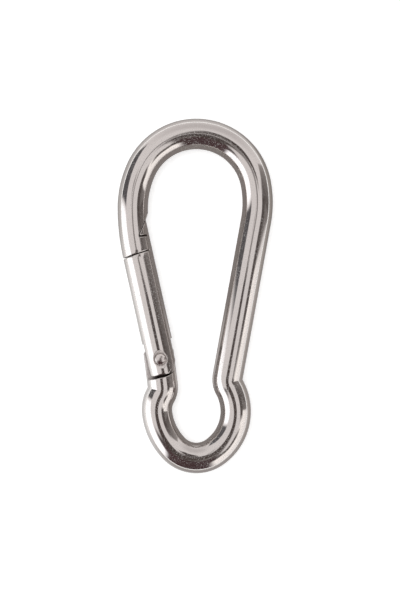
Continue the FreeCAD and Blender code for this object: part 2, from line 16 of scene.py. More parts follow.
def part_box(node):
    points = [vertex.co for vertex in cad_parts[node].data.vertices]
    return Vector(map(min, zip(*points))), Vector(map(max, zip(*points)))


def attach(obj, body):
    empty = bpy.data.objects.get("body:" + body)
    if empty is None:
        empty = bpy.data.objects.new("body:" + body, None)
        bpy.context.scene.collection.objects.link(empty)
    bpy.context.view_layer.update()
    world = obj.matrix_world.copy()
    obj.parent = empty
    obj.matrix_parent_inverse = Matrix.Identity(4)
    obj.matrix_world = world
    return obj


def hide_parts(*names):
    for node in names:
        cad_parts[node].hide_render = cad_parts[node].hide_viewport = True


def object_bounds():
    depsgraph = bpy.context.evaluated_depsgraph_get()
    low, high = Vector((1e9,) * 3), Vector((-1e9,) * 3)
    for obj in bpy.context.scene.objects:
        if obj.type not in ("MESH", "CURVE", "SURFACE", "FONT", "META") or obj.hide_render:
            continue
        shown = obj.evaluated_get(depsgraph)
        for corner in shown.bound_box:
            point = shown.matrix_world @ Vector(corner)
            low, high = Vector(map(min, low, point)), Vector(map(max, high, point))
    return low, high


bl_info = {
    "name": "Spring snap hook",
    "version": (1, 0, 0),
    "blender": (4, 5, 0),
    "location": "3D View > Sidebar > Snap hook",
    "description": "Builds the polished snap hook, its gate and the light tent round it",
    "category": "Object",
}

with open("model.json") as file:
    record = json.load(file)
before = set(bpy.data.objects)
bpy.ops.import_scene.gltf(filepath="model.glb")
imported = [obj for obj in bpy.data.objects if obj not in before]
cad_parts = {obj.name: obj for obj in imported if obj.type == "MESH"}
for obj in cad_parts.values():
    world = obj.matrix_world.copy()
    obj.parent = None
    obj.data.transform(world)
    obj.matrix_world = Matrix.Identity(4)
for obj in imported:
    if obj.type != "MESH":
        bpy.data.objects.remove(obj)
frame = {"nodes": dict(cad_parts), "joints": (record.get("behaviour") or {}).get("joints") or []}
CAD_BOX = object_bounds()
JOINTS = {joint["name"]: joint for joint in frame["joints"]}
MM = 0.001
FLAT = Vector((0, 0, 1))

# The gate's frame: origin in the rivet, +Y along the gate, +X into the bow.
RIVET = Vector(JOINTS["gate_hinge"]["pos_m"])
ALONG = Vector(JOINTS["plunger_slide"]["axis"]).normalized()
ACROSS = ALONG.cross(FLAT)
GATE_FRAME = Matrix.Translation(RIVET) @ Matrix((ACROSS, ALONG, FLAT)).transposed().to_4x4()


def in_gate_frame(node):
    """The places of a CAD node's vertices in the gate's frame."""
    inverse = GATE_FRAME.inverted()
    return [inverse @ vertex.co for vertex in frame["nodes"][node].data.vertices]


BAR_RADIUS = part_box("hook_body")[1].z
BEYOND = BAR_RADIUS * 2  # how far a cutter reaches past the bar
RIM_RINGS = 6  # rings of the bar that round a cut end
RING_STEP = 0.1 * MM  # between those rings, before they are laid onto the cut
RING_HAIR = 0.001 * MM  # keeps rings at one height from falling together
GATE_SPOTS = in_gate_frame("gate")
HEEL = min(spot.y for spot in GATE_SPOTS)
BARB_POINT = max(spot.y for spot in GATE_SPOTS)


# ---------------------------------------------------------------- sizes and colours


def length(name, millimetres, description):
    return FloatProperty(name=name, description=description, default=millimetres * MM,
                         unit="LENGTH", precision=5, min=0.0)


def angle(name, degrees, description):
    return FloatProperty(name=name, description=description, default=math.radians(degrees),
                         subtype="ANGLE", precision=3)


def colour(name, rgb, description):
    return FloatVectorProperty(name=name, description=description, default=rgb,
                               subtype="COLOR", size=3, min=0.0, soft_max=1.0)


def share(name, value, description):
    return FloatProperty(name=name, description=description, default=value,
                         subtype="FACTOR", min=0.0, max=1.0)


class SnapHookBar(PropertyGroup):
    """Bends of the bar's centreline, from the eye's lowest point."""

    eye_bend: length("Eye bend", 12.3, "Radius of the bottom of the eye")
    eye_back_turn: angle("Eye turn, back", 34.4, "Bottom bend towards the back")
    eye_back_side: length("Eye side, back", 19.7, "Radius of the eye's side under the back")
    eye_back_side_turn: angle("Eye side turn, back", 84.6, "Turn of that side")
    fold_inside: length("Neck fold", 0.25, "Inside radius of the two folds at the neck")
    back_fold_turn: angle("Back fold", 39.3, "Fold from the eye into the back")
    back_length: length("Back", 62.3, "Length of the straight back")
    shoulder: length("Shoulder", 41.0, "Radius from the back to the crown")
    shoulder_turn: angle("Shoulder turn", 21.2, "Turn of that bend")
    crown: length("Crown", 23.9, "Radius of the bow's crown")
    crown_turn: angle("Crown turn", 144.7, "Turn of the crown")
    brow: length("Brow", 37.0, "Radius from the crown to the nose")
    brow_turn: angle("Brow turn", 24.7, "Turn of that bend")
    nose: length("Nose", 85.7, "Radius of the slow bend that ends in the nose")
    nose_turn: angle("Nose turn", 12.1, "Turn of that bend")
    eye_gate_turn: angle("Eye turn, gate", 46.3, "Bottom bend towards the gate")
    eye_gate_side: length("Eye side, gate", 24.52, "Radius of the eye's side under the gate")
    eye_gate_side_turn: angle("Eye side turn, gate", 36.6, "Turn of that side")
    eye_gate_top: length("Eye top, gate", 11.6, "Radius of the top of the eye under the gate")
    eye_gate_top_turn: angle("Eye top turn, gate", 36.7, "Turn of that top")
    gate_fold_turn: angle("Gate fold", 36.9, "Fold from the eye into the hinge leg")
    leg: length("Hinge leg", 10.46, "Length of the leg from the fold to the rivet")
    sides: IntProperty(name="Sides", description="Facets round the bar", default=80, min=12)
    step: length("Step", 0.55, "Distance between two rings of the bar")
    crease_depth: length("Crease", 3.2, "How far the neck's sharp crease reaches in")
    crease_fade: length("Crease fade", 1.6, "Length over which the crease softens")
    rim_round: length("Rim", 0.32, "Rounding of the bar's cut ends")
    heel_rim: length("Heel rim", 0.5, "Rounding of the gate's end at the hinge")


class SnapHookJoint(PropertyGroup):
    """Cuts at the nose, the hinge and the gate, in the gate's frame."""

    gap: length("Joint gap", 0.4, "Gap between the nose and the gate's end")
    slope: angle("Joint slope", 6.2, "Tilt of that gap away from square")
    gate_length: length("Gate length", 42.18, "Rivet to the middle of the joint")
    tongue: length("Tongue", 5.8, "Thickness of the gate's tongue")
    tongue_depth: length("Tongue depth", 3.5, "How far the tongue reaches in from the inner side")
    tongue_clear: length("Tongue clearance", 0.2, "Slot wall to tongue, each side")
    barb_height: length("Barb height", 6.9, "Joint to the barb's bearing face")
    barb_slope: angle("Barb slope", 3.0, "Undercut of the bearing face")
    barb_length: length("Barb", 5.5, "Bearing face to the barb's point")
    load_gap: length("Load gap", 0.8, "Bearing face to the nose's fingers")
    barb_clear: length("Barb clearance", 0.3, "Other faces of the barb to the notch")
    rivet_inset: length("Rivet inset", 0.6, "Rivet's distance from the leg's centreline")
    hinge: length("Hinge tongue", 5.0, "Thickness of the hook's hinge tongue")
    hinge_clear: length("Hinge clearance", 0.2, "Fork cheek to hinge tongue, each side")
    fork_depth: length("Fork", 7.0, "Rivet to the bottom of the fork's slot")
    heel_gap: length("Heel gap", 1.0, "Gate's end to the hook's shoulder")
    heel_round: length("Heel corner", 2.2, "Outer corner of the gate's end")
    toe_width: length("Toe width", 4.0, "Slanted inner corner, across")
    toe_length: length("Toe length", 4.9, "Slanted inner corner, along")
    toe_bulge: length("Toe bulge", 40.0, "Roundness of that slant")
    cam_height: length("Cam", 4.2, "Rivet to the flat top of the hinge tongue")
    cam_reach: length("Cam reach", 2.0, "Rivet's centreline to the end of that flat")
    cam_extra: length("Cam extra", 0.4, "Cam radius beyond the cam height")
    cam_corner: length("Cam corner", 3.0, "Outer corner of the hinge tongue")
    crater_floor: length("Crater floor", 2.25, "Radius of the crater's flat floor")
    crater_flare: length("Crater flare", 0.8, "Mouth of the crater beyond its floor")
    crater_depth: length("Crater depth", 1.3, "Depth of the crater below the bar's crest")
    crater_lip: length("Crater lip", 0.5, "How far the crater's lip is rolled outwards")
    shank: length("Rivet shank", 1.7, "Radius of the rivet's shank")
    cheek_grip: length("Cheek hole clearance", 0.01, "Hole in the gate's cheeks beyond the shank")
    tongue_run: length("Tongue hole clearance", 0.06, "Hole in the tongue beyond the shank")
    head: length("Rivet head", 2.15, "Radius of the rivet's heads")
    head_height: length("Rivet head height", 1.0, "Height of a head above its seat")
    head_crown: length("Rivet head crown", 0.5, "How much higher a head is in the middle")
    plunger: length("Plunger", 2.4, "Radius of the spring plunger")
    plunger_length: length("Plunger length", 7.4, "Length of the plunger's head")
    pin: length("Pin", 1.35, "Radius of the plunger's pin")
    pin_length: length("Pin length", 4.0, "Length of the pin")
    fit: length("Fit", 0.05, "Clearance round the plunger and over the cam")
    edge: length("Edge break", 0.2, "Broken edges of the plunger")
    wire: length("Wire", 0.45, "Radius of the spring's wire")
    coil_clear: length("Coil clearance", 0.1, "Bore wall to the coil")
    coil_pitch: length("Coil pitch", 2.3, "Distance from turn to turn")
    coil_turns: FloatProperty(name="Turns", description="Turns of the spring", default=5.5,
                              min=1.0)


class SnapHookLooks(PropertyGroup):
    """Colours and finish."""

    steel: colour("Steel", (0.745, 0.715, 0.695), "Mirror colour of the polished steel")
    cut_steel: colour("Cut steel", (0.60, 0.575, 0.56), "Mirror colour of the cut faces")
    milled_steel: colour("Milled steel", (0.80, 0.77, 0.75), "Mirror colour of the hinge flats")
    rivet_steel: colour("Rivet", (0.74, 0.70, 0.68), "Mirror colour of the rivet")
    bright_steel: colour("Crater", (0.92, 0.89, 0.87), "Mirror colour of the rivet's craters")
    wire_steel: colour("Wire", (0.55, 0.54, 0.53), "Mirror colour of the drawn wire")
    polish: share("Polish", 0.055, "Roughness of the polished bar")
    mill_marks: share("Mill marks", 0.6, "Roughness of the milled hinge flats")
    backdrop: colour("Backdrop", (0.8, 0.8, 0.8), "Paper under and behind the hook")
    tent: colour("Tent", (0.81, 0.77, 0.765), "Cloth of the light tent")


def bar_sizes():
    return bpy.context.scene.snap_hook_bar


def joint_sizes():
    return bpy.context.scene.snap_hook_joint


def looks():
    return bpy.context.scene.snap_hook_looks


# ---------------------------------------------------------------- materials


# Noise patterns: cells per metre and detail, then the noise values between which one sets in.
SPECKS = (2600.0, 2.0)
DRAWN_LINES = (700.0, 2.0)
SMUDGES = (90.0, 4.0, 0.35, 0.75)
SCUFF_PATCHES = (55.0, 2.0, 0.38, 0.6)
SCUFF_SPOTS = (2200.0, 2.0, 0.5, 0.7)
PAPER_FIBRES = (900.0, 3.0, 0.3, 0.7)
ROUGH_SPECKS = (0.4, 0.8)
DULL_SPECKS = (0.62, 0.72)
NOOKS = (0.15, 0.7)  # how open a place is, from the depth of a nook to its edge, over which the painted shade fades

LINE_STRETCH = 0.012
SMUDGED_ROUGHNESS = 1.9
SCUFFS_BETWEEN_PATCHES = 0.35
SPECK_TONE = 0.86
EDGE_ROUND = 0.4 * MM
LINE_BUMP = (0.05, 0.25 * MM)
GRAIN_BUMP, GRAIN_DEPTH = 0.03, 0.04 * MM
# Painted shade: the tone that nooks and gaps are darkened to, and how fully each is darkened.
NOOK_SHADE_TONE = (0.10, 0.08, 0.07)
FULL_NOOK_SHADE = 0.97
FULL_GAP_SHADE = 0.99
FIBRE_TONE = 0.96
BETWEEN_FIBRES = 0.985
PAPER_LIFT = 0.6

# Where shade is painted under the gate's end at the hinge: along the gate from HEEL, and across
# it.
HEEL_GAP_SHADE = (-0.3 * MM, 0.1 * MM)
OUTER_GAP_SHADE = (-5.5 * MM, -2.5 * MM)
INNER_GAP_SHADE = (2.5 * MM, 4.5 * MM)
# Where shade is painted into the notch's gap, back from the barb's bearing face: from the
# fingers, as shares of the load gap, to the barb.
FINGER_GAP_SHADE = (1.25, 0.9)
BARB_GAP_SHADE = (0.25 * MM, 0.05 * MM)


class Shader:
    """Makes a material or a world, adds nodes to its tree and joins them."""

    def __init__(self, name, kind="Material"):
        store = {"Material": bpy.data.materials, "World": bpy.data.worlds}[kind]
        self.owner = store.new(name)
        self.owner.use_nodes = True
        self.tree = self.owner.node_tree
        self.tree.nodes.clear()
        self.surface = self.tree.nodes.new("ShaderNodeOutput" + kind).inputs["Surface"]

    def feed(self, socket, value):
        if isinstance(value, bpy.types.NodeSocket):
            self.tree.links.new(value, socket)
        else:
            socket.default_value = value

    def add(self, kind, settings=None, **inputs):
        node = self.tree.nodes.new(kind)
        for key, value in (settings or {}).items():
            setattr(node, key, value)
        for key, value in inputs.items():
            self.feed(node.inputs[key.replace("_", " ")], value)
        return node

    def chain(self, kind, settings, *values):
        """A node whose first inputs take the values in turn; hands back its first output."""
        node = self.add(kind, settings)
        for socket, value in zip(node.inputs, values):
            self.feed(socket, value)
        return node.outputs[0]

    def math(self, operation, *values):
        return self.chain("ShaderNodeMath", {"operation": operation}, *values)

    def ramp(self, value, low, high, start=0.0, end=1.0):
        """Smoothly from start at low to end at high."""
        return self.chain("ShaderNodeMapRange", {"interpolation_type": "SMOOTHSTEP"},
                          value, low, high, start, end)

    def band(self, value, rise, fall):
        """1 between two soft edges, each given by where it starts and ends; 0 beyond them."""
        return self.math("MULTIPLY", self.ramp(value, *rise), self.ramp(value, *fall, 1.0, 0.0))

    def mix(self, share_of, first, second, blend="MIX"):
        """The first colour, turned into the second by a share."""
        node = self.add("ShaderNodeMix", {"data_type": "RGBA", "blend_type": blend},
                        Factor=share_of)
        for socket, shown in ((node.inputs[6], first), (node.inputs[7], second)):
            linked = isinstance(shown, bpy.types.NodeSocket)
            self.feed(socket, shown if linked else (*shown, 1.0))
        return node.outputs[2]

    def show(self, lamp, share_of=1.0):
        """Let the surface glow by a share, and be clear for the rest."""
        clear = self.add("ShaderNodeBsdfTransparent").outputs[0]
        self.feed(self.surface, self.chain("ShaderNodeMixShader", None, share_of, clear,
                                           lamp.outputs[0]))

    def place(self, kind="Object"):
        return self.add("ShaderNodeTexCoord").outputs[kind]

    def split_place(self, kind="Object"):
        parts = self.add("ShaderNodeSeparateXYZ", Vector=self.place(kind)).outputs
        return parts["X"], parts["Y"]

    def place_on_bar(self, stretch):
        """The place that the bar's mesh carries, drawn out along the bar."""
        carried = self.add("ShaderNodeAttribute", {"attribute_name": "bar_place"})
        mapping = self.add("ShaderNodeMapping", Vector=carried.outputs["Vector"],
                           Scale=(1.0, 1.0, stretch))
        return mapping.outputs["Vector"]

    def noise(self, scale, detail, place=None):
        where = self.place() if place is None else place
        return self.add("ShaderNodeTexNoise", Vector=where, Scale=scale,
                        Detail=detail).outputs["Fac"]

    def pattern(self, scale, detail, low, high, start=0.0, end=1.0):
        """Noise turned into a soft pattern of two values."""
        return self.ramp(self.noise(scale, detail), low, high, start, end)

    def bump(self, height, normal, strength, distance):
        return self.add("ShaderNodeBump", Height=height, Normal=normal, Strength=strength,
                        Distance=distance).outputs["Normal"]

    def seen(self):
        """1 for the lens and the metal's mirror images, 0 for the light that falls on things."""
        path = self.add("ShaderNodeLightPath").outputs
        direct = self.math("MAXIMUM", path["Is Camera Ray"], path["Is Glossy Ray"])
        return self.math("MAXIMUM", direct, path["Is Transmission Ray"])


def from_rivet(shader, axis):
    """How far a place lies from the rivet along one axis of the gate."""
    along = shader.add("ShaderNodeVectorMath", {"operation": "DOT_PRODUCT"})
    shader.feed(along.inputs[0], shader.place())
    shader.feed(along.inputs[1], axis)
    return shader.math("SUBTRACT", along.outputs["Value"], RIVET.dot(axis))


def heel_gap_shade(shader):
    """Painted gap shade below the gate's end at the hinge, thin near the outer and inner sides."""
    across = from_rivet(shader, ACROSS)
    edges = [HEEL + edge for edge in HEEL_GAP_SHADE]
    below = shader.ramp(from_rivet(shader, ALONG), *edges, 1.0, 0.0)
    outer = shader.ramp(across, *OUTER_GAP_SHADE, 0.2, 1.0)
    inner = shader.ramp(across, *INNER_GAP_SHADE, 1.0, 0.0)
    return shader.math("MULTIPLY", below, shader.math("MULTIPLY", outer, inner))


def notch_gap_shade(shader):
    """Painted gap shade between the barb's bearing face and the nose's fingers."""
    joint = joint_sizes()
    bearing = joint.gate_length + joint.barb_height
    fingers = [bearing - joint.load_gap * edge for edge in FINGER_GAP_SHADE]
    barb = [bearing - edge for edge in BARB_GAP_SHADE]
    return shader.band(from_rivet(shader, ALONG), fingers, barb)


class Finish(NamedTuple):
    """A steel finish; nook is how far its painted shade reaches out of a corner, in millimetres.
    """

    tone: tuple
    roughness: float
    grain: float = 0.0
    nook: float = 0.5
    scuffs: float = 0.0
    # Paints shade into a joint's gap, where the finish has one.
    gap_shade: object = None


def steel_material(name, finish):
    """Steel with drawn lines and grain, smudges, dull scuffs, and painted shade in nooks and gaps.
    """
    shader = Shader(name)
    speck = shader.noise(*SPECKS)
    rough = shader.pattern(*SMUDGES, finish.roughness, finish.roughness * SMUDGED_ROUGHNESS)
    if finish.grain:
        rough = shader.math("ADD", rough, shader.ramp(speck, *ROUGH_SPECKS, 0.0, finish.grain))
    patch = shader.pattern(*SCUFF_PATCHES, finish.scuffs * SCUFFS_BETWEEN_PATCHES, finish.scuffs)
    scuffed = shader.math("MULTIPLY", patch, shader.pattern(*SCUFF_SPOTS))
    dull = [part * SPECK_TONE for part in finish.tone]
    tone = shader.mix(shader.ramp(speck, *DULL_SPECKS), finish.tone, dull)
    # Painted shade: the base colour darkens where ambient occlusion finds a nook.
    nooks = shader.add("ShaderNodeAmbientOcclusion", {"samples": 8}, Distance=finish.nook * MM)
    painted_shade = shader.ramp(nooks.outputs["AO"], *NOOKS, FULL_NOOK_SHADE, 0.0)
    # Painted shade in a joint's gap, laid over the painted nook shade.
    if finish.gap_shade:
        gap_shade = shader.math("MULTIPLY", finish.gap_shade(shader), FULL_GAP_SHADE)
        painted_shade = shader.math("MAXIMUM", painted_shade, gap_shade)
    edges = shader.add("ShaderNodeBevel", {"samples": 8}, Radius=EDGE_ROUND)
    lines = shader.noise(*DRAWN_LINES, shader.place_on_bar(LINE_STRETCH))
    drawn = shader.bump(lines, edges.outputs["Normal"], *LINE_BUMP)
    steel = shader.add("ShaderNodeBsdfPrincipled", Roughness=rough,
                       Base_Color=shader.mix(painted_shade, tone, NOOK_SHADE_TONE, "MULTIPLY"),
                       Metallic=shader.math("SUBTRACT", 1.0, scuffed),
                       Normal=shader.bump(speck, drawn, GRAIN_BUMP + finish.grain, GRAIN_DEPTH))
    shader.feed(shader.surface, steel.outputs["BSDF"])


def steels():
    """The finishes by name, made once; no name is one that the CAD's materials have."""
    look = looks()
    polish, milled = look.polish, look.mill_marks
    finishes = {
        "mirror_bar": Finish(look.steel, polish, scuffs=0.4),
        # The cut faces get painted shade in the notch's gap, the milled flats below the gate's
        # end.
        "cut_faces": Finish(look.cut_steel, polish * 3, 0.05, 1.5, gap_shade=notch_gap_shade),
        "milled_flats": Finish(look.milled_steel, milled, 0.05, 1.5, gap_shade=heel_gap_shade),
        "crater_wall": Finish(look.bright_steel, milled * 0.8, nook=0.15),
        "rivet_face": Finish(look.rivet_steel, polish * 2, 0.02, 0.3),
        "drawn_wire": Finish(look.wire_steel, polish * 4, 0.05, 0.6),
        "turned_face": Finish(look.cut_steel, polish * 4, 0.08, 0.6),
    }
    for name, finish in finishes.items():
        if name not in bpy.data.materials:
            steel_material(name, finish)
    return bpy.data.materials


# ---------------------------------------------------------------- mesh helpers


def link(name, mesh):
    piece = bpy.data.objects.new(name, mesh)
    bpy.context.scene.collection.objects.link(piece)
    return piece


def mesh_from(name, points, faces, matrix=GATE_FRAME):
    mesh = bpy.data.meshes.new(name)
    mesh.from_pydata([matrix @ Vector(point) for point in points], [], faces)
    mesh.update()
    return link(name, mesh)


def arc_points(start, end, radius, count=12):
    """Points from start towards end on an arc that bulges right of the way (left if negative)."""
    start, end = Vector(start), Vector(end)
    chord = end - start
    half = chord.length / 2
    left = Vector((-chord.y, chord.x)).normalized()
    rise = math.sqrt(max(radius * radius - half * half, 0.0))
    centre = (start + end) / 2 + left * math.copysign(rise, radius)
    first = math.atan2(start.y - centre.y, start.x - centre.x)
    last = math.atan2(end.y - centre.y, end.x - centre.x)
    turn = last - first
    turn -= 2 * math.pi * round(turn / (2 * math.pi))
    spots = [first + turn * index / count for index in range(count)]
    return [(centre.x + abs(radius) * math.cos(spot), centre.y + abs(radius) * math.sin(spot))
            for spot in spots]


def outline(corners):
    """Plane points from corners: (x, y), or (x, y, radius) where an arc leads to the next."""
    points = []
    for index, (x, y, *radius) in enumerate(corners):
        if radius:
            points += arc_points((x, y), corners[(index + 1) % len(corners)][:2], *radius)
        else:
            points.append((x, y))
    return points


def prism(name, corners, low=-BEYOND, high=BEYOND):
    """A closed prism over an outline in the gate's frame, from height low to high."""
    points = outline(corners)
    count = len(points)
    area = sum(a[0] * b[1] - b[0] * a[1] for a, b in zip(points, points[1:] + points[:1]))
    if area < 0:
        points.reverse()
    ring = list(range(count))
    spots = [(*point, low) for point in points] + [(*point, high) for point in points]
    walls = [(a, b, b + count, a + count) for a, b in zip(ring, ring[1:] + ring[:1])]
    return mesh_from(name, spots, [ring[::-1], [index + count for index in ring], *walls])


def flats(name, corners, half):
    """Two prisms over one outline, which leave the material between -half and half."""
    return [prism(name, corners, low=half), prism(name, corners, high=-half)]


def through_hole(radius):
    return lathe("hole", [(0, -BEYOND), (radius, -BEYOND), (radius, BEYOND), (0, BEYOND)])


def lathe(name, profile, sides=72, axis="Z"):
    """A closed turned solid in the gate's frame, over (radius, height) from pole to pole."""
    points, rings = [], []
    for radius, height in profile:
        count = 1 if radius < 1e-9 else sides
        rings.append(list(range(len(points), len(points) + count)))
        for index in range(count):
            turn = 2 * math.pi * index / sides
            a, b = radius * math.cos(turn), radius * math.sin(turn)
            points.append((b, height, a) if axis == "Y" else (a, b, height))
    faces = []
    for low, high in zip(rings, rings[1:]):
        for index in range(sides):
            after = (index + 1) % sides
            corners = [low[index % len(low)], low[after % len(low)],
                       high[after % len(high)], high[index % len(high)]]
            faces.append(list(dict.fromkeys(corners)))
    return mesh_from(name, points, faces)


def evaluated(thing):
    """The mesh that an object's modifiers make, with all its attributes."""
    depsgraph = bpy.context.evaluated_depsgraph_get()
    return bpy.data.meshes.new_from_object(thing.evaluated_get(depsgraph),
                                           preserve_all_data_layers=True, depsgraph=depsgraph)


def cut(piece, cutters, slot=1):
    """Cut the piece with each cutter in turn; the new faces take the finish in that slot."""
    for cutter in cutters:
        for finish in piece.data.materials:
            cutter.data.materials.append(finish)
        for face in cutter.data.polygons:
            face.material_index = slot
        modifier = piece.modifiers.new("cut", "BOOLEAN")
        modifier.operation = "DIFFERENCE"
        modifier.solver = "EXACT"
        modifier.object = cutter
        result = evaluated(piece)
        piece.modifiers.clear()
        old = piece.data
        piece.data = result
        bpy.data.meshes.remove(old)
        bpy.data.objects.remove(cutter)


def remember_normals(mesh):
    """Smooth the bar's walls, and keep their normals as a corner attribute through the cuts."""
    for face in mesh.polygons:
        capped = len(face.vertices) > 4
        face.use_smooth = not capped
        face.material_index = int(capped)
    kept = mesh.attributes.new("bar_normal", "FLOAT_VECTOR", "CORNER")
    smooth = [0.0] * (len(mesh.loops) * 3)
    mesh.corner_normals.foreach_get("vector", smooth)
    kept.data.foreach_set("vector", smooth)


def shade(mesh, smooth_up_to=30.0):
    """Give the round faces their kept normals, and smooth the cut faces up to an angle."""
    kept = mesh.attributes.get("bar_normal")
    sharp = math.cos(math.radians(smooth_up_to))
    around = {}
    for face in mesh.polygons:
        if face.material_index:
            for vertex in face.vertices:
                around.setdefault(vertex, []).append(face)
    normals = [None] * len(mesh.loops)
    for face in mesh.polygons:
        face.use_smooth = True
        for loop in face.loop_indices:
            if face.material_index == 0 and kept is not None:
                normals[loop] = Vector(kept.data[loop].vector).normalized()
                continue
            near = around.get(mesh.loops[loop].vertex_index, [face])
            total = Vector()
            for other in near:
                if other.normal.dot(face.normal) > sharp:
                    total += other.normal * other.area
            normals[loop] = total.normalized() if total.length else face.normal
    mesh.normals_split_custom_set(normals)
    if kept is not None:
        mesh.attributes.remove(mesh.attributes["bar_normal"])


def finish_piece(piece, body, node):
    """Ride and replace: the calls that every finished piece needs."""
    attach(piece, body)
    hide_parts(node)


# ---------------------------------------------------------------- the bent bar


STRAIGHT_STEPS = 3  # a straight run has a ring at every third step
FOLD_RINGS = 24
FOLD_CROWDING = 1.8  # above 1, the rings crowd towards the fold's middle
LEG_PAST_RIVET = BAR_RADIUS * 1.5


class Spot(NamedTuple):
    """A place on a bar's middle line; in a tight fold also its centre and the mitre's gain."""

    place: Vector
    centre: object = None
    gain: float = 0.0


def centreline(step):
    """The bar's middle line from the hinge leg round the eye and the bow to the nose."""
    sizes = bar_sizes()
    fold = BAR_RADIUS + sizes.fold_inside
    to_nose = [
        (sizes.eye_bend, sizes.eye_back_turn),
        (sizes.eye_back_side, sizes.eye_back_side_turn),
        (fold, -sizes.back_fold_turn),
        (sizes.back_length, None),
        (sizes.shoulder, sizes.shoulder_turn),
        (sizes.crown, sizes.crown_turn),
        (sizes.brow, sizes.brow_turn),
        (sizes.nose, sizes.nose_turn),
    ]
    to_rivet = [
        (sizes.eye_bend, -sizes.eye_gate_turn),
        (sizes.eye_gate_side, -sizes.eye_gate_side_turn),
        (sizes.eye_gate_top, -sizes.eye_gate_top_turn),
        (fold, sizes.gate_fold_turn),
        (sizes.leg + LEG_PAST_RIVET, None),
    ]
    lowest = Vector((0, -sizes.eye_bend, 0))
    gate_side = walk(lowest, math.pi, to_rivet, step, fold)
    return gate_side[:0:-1] + walk(lowest, 0.0, to_nose, step, fold)


def walk(start, heading, legs, step, fold):
    """Spots along straight runs (length, None) and arcs (radius, turn), one after the other."""
    spots = []
    for size, turn in legs:
        if turn is None:
            count = max(1, round(size / (step * STRAIGHT_STEPS)))
            way = Vector((math.cos(heading), math.sin(heading), 0))
            spots += [Spot(start + way * size * index / count) for index in range(count)]
            start = start + way * size
            continue
        side = math.copysign(1.0, turn)
        out = Vector((math.sin(heading), -math.cos(heading), 0)) * side
        centre = start - out * size
        folded = size == fold
        count = FOLD_RINGS if folded else max(2, round((size + BAR_RADIUS) * abs(turn) / step))
        for index in range(count):
            part = index / count
            if folded:
                lean = 2 * part - 1
                part = 0.5 + 0.5 * math.copysign(abs(lean) ** FOLD_CROWDING, lean)
            place = centre + Matrix.Rotation(turn * part, 3, FLAT) @ out * size
            gain = 1 / math.cos(abs(turn) * (0.5 - abs(part - 0.5))) - 1 if folded else 0.0
            spots.append(Spot(place, centre, gain))
        start = centre + Matrix.Rotation(turn, 3, FLAT) @ out * size
        heading += turn
    return [*spots, Spot(start)]


def guide_curve(spots):
    curve = bpy.data.curves.new("guide", "CURVE")
    curve.dimensions = "3D"
    spline = curve.splines.new("POLY")
    spline.points.add(len(spots) - 1)
    for point, spot in zip(spline.points, spots):
        point.co = (*spot.place, 1.0)
    return link("guide", curve)


class Sweep:
    """Geometry nodes that sweep a round section along a path and hand back a plain mesh."""

    SOCKETS = {"Guide": "Geometry", "Radius": "Float", "Sides": "Int", "Finish": "Material"}

    def __init__(self, name, more=()):
        self.tree = bpy.data.node_groups.new(name, "GeometryNodeTree")
        self.keys = {}
        for title, kind in (*self.SOCKETS.items(), *[(title, "Float") for title in more]):
            made = self.tree.interface.new_socket(title, in_out="INPUT",
                                                  socket_type="NodeSocket" + kind)
            self.keys[title] = made.identifier
        self.tree.interface.new_socket("Mesh", in_out="OUTPUT", socket_type="NodeSocketGeometry")
        self.start = self.tree.nodes.new("NodeGroupInput").outputs
        section = self.node("CurvePrimitiveCircle", Resolution="Sides", Radius="Radius")
        self.sweep = self.node("CurveToMesh", Profile_Curve=section.outputs["Curve"])
        self.sweep.inputs["Fill Caps"].default_value = True
        smooth = self.node("SetShadeSmooth", Geometry=self.sweep.outputs["Mesh"])
        real = self.node("RealizeInstances", Geometry=smooth.outputs["Geometry"])
        paint = self.node("SetMaterial", Geometry=real.outputs["Geometry"], Material="Finish")
        end = self.tree.nodes.new("NodeGroupOutput")
        self.tree.links.new(paint.outputs["Geometry"], end.inputs["Mesh"])

    def node(self, kind, **inputs):
        """A node whose inputs come from other nodes, or from the group's inputs by name."""
        node = self.tree.nodes.new("GeometryNode" + kind)
        for key, source in inputs.items():
            source = self.start[source] if isinstance(source, str) else source
            self.tree.links.new(source, node.inputs[key.replace("_", " ")])
        return node

    def follow(self, path):
        self.tree.links.new(path.outputs["Curve"], self.sweep.inputs["Curve"])

    def run(self, guide, **values):
        """The mesh for these inputs; the guide and the nodes are removed again."""
        modifier = guide.modifiers.new("Sweep", "NODES")
        modifier.node_group = self.tree
        for title, value in values.items():
            modifier[self.keys[title.replace("_", " ")]] = value
        mesh = evaluated(guide)
        bpy.data.objects.remove(guide)
        bpy.data.node_groups.remove(self.tree)
        return mesh


def sweep_bar(name, spots, finish):
    """The swept bar as a plain mesh object: ring after ring, then the caps."""
    sweep = Sweep("Round bar")
    upright = sweep.node("SetCurveNormal", Curve="Guide")
    upright.mode = "Z_UP"
    sweep.follow(upright)
    sides = bar_sizes().sides
    mesh = sweep.run(guide_curve(spots), Radius=BAR_RADIUS, Sides=sides, Finish=finish)
    mark_places(mesh, spots, sides)
    return link(name, mesh)


def mark_places(mesh, spots, sides):
    """Each corner's place on the bar: round it (two values) and along it."""
    run, along = 0.0, [0.0]
    for before, after in zip(spots, spots[1:]):
        run += (after.place - before.place).length
        along.append(run)
    places = mesh.attributes.new("bar_place", "FLOAT_VECTOR", "CORNER")
    for loop in mesh.loops:
        ring, side = divmod(loop.vertex_index, sides)
        turn = 2 * math.pi * side / sides
        places.data[loop.index].vector = (BAR_RADIUS * math.cos(turn), BAR_RADIUS * math.sin(turn),
                                          along[min(ring, len(along) - 1)])


def crease(piece, spots, sizes):
    """Turn the inner half of each tight fold into a mitre, so that the neck shows a crease."""
    for index, vertex in enumerate(piece.data.vertices):
        spot = spots[min(index // sizes.sides, len(spots) - 1)]
        if spot.gain <= 0.0:
            continue
        away = vertex.co - spot.centre
        height, away.z = away.z, 0.0
        fade = (away.length - sizes.crease_depth) / sizes.crease_fade
        fade = min(max(fade, 0.0), 1.0)
        weight = 1 - fade * fade * (3 - 2 * fade)
        vertex.co = spot.centre + away * (1 + spot.gain * weight)
        vertex.co.z = height


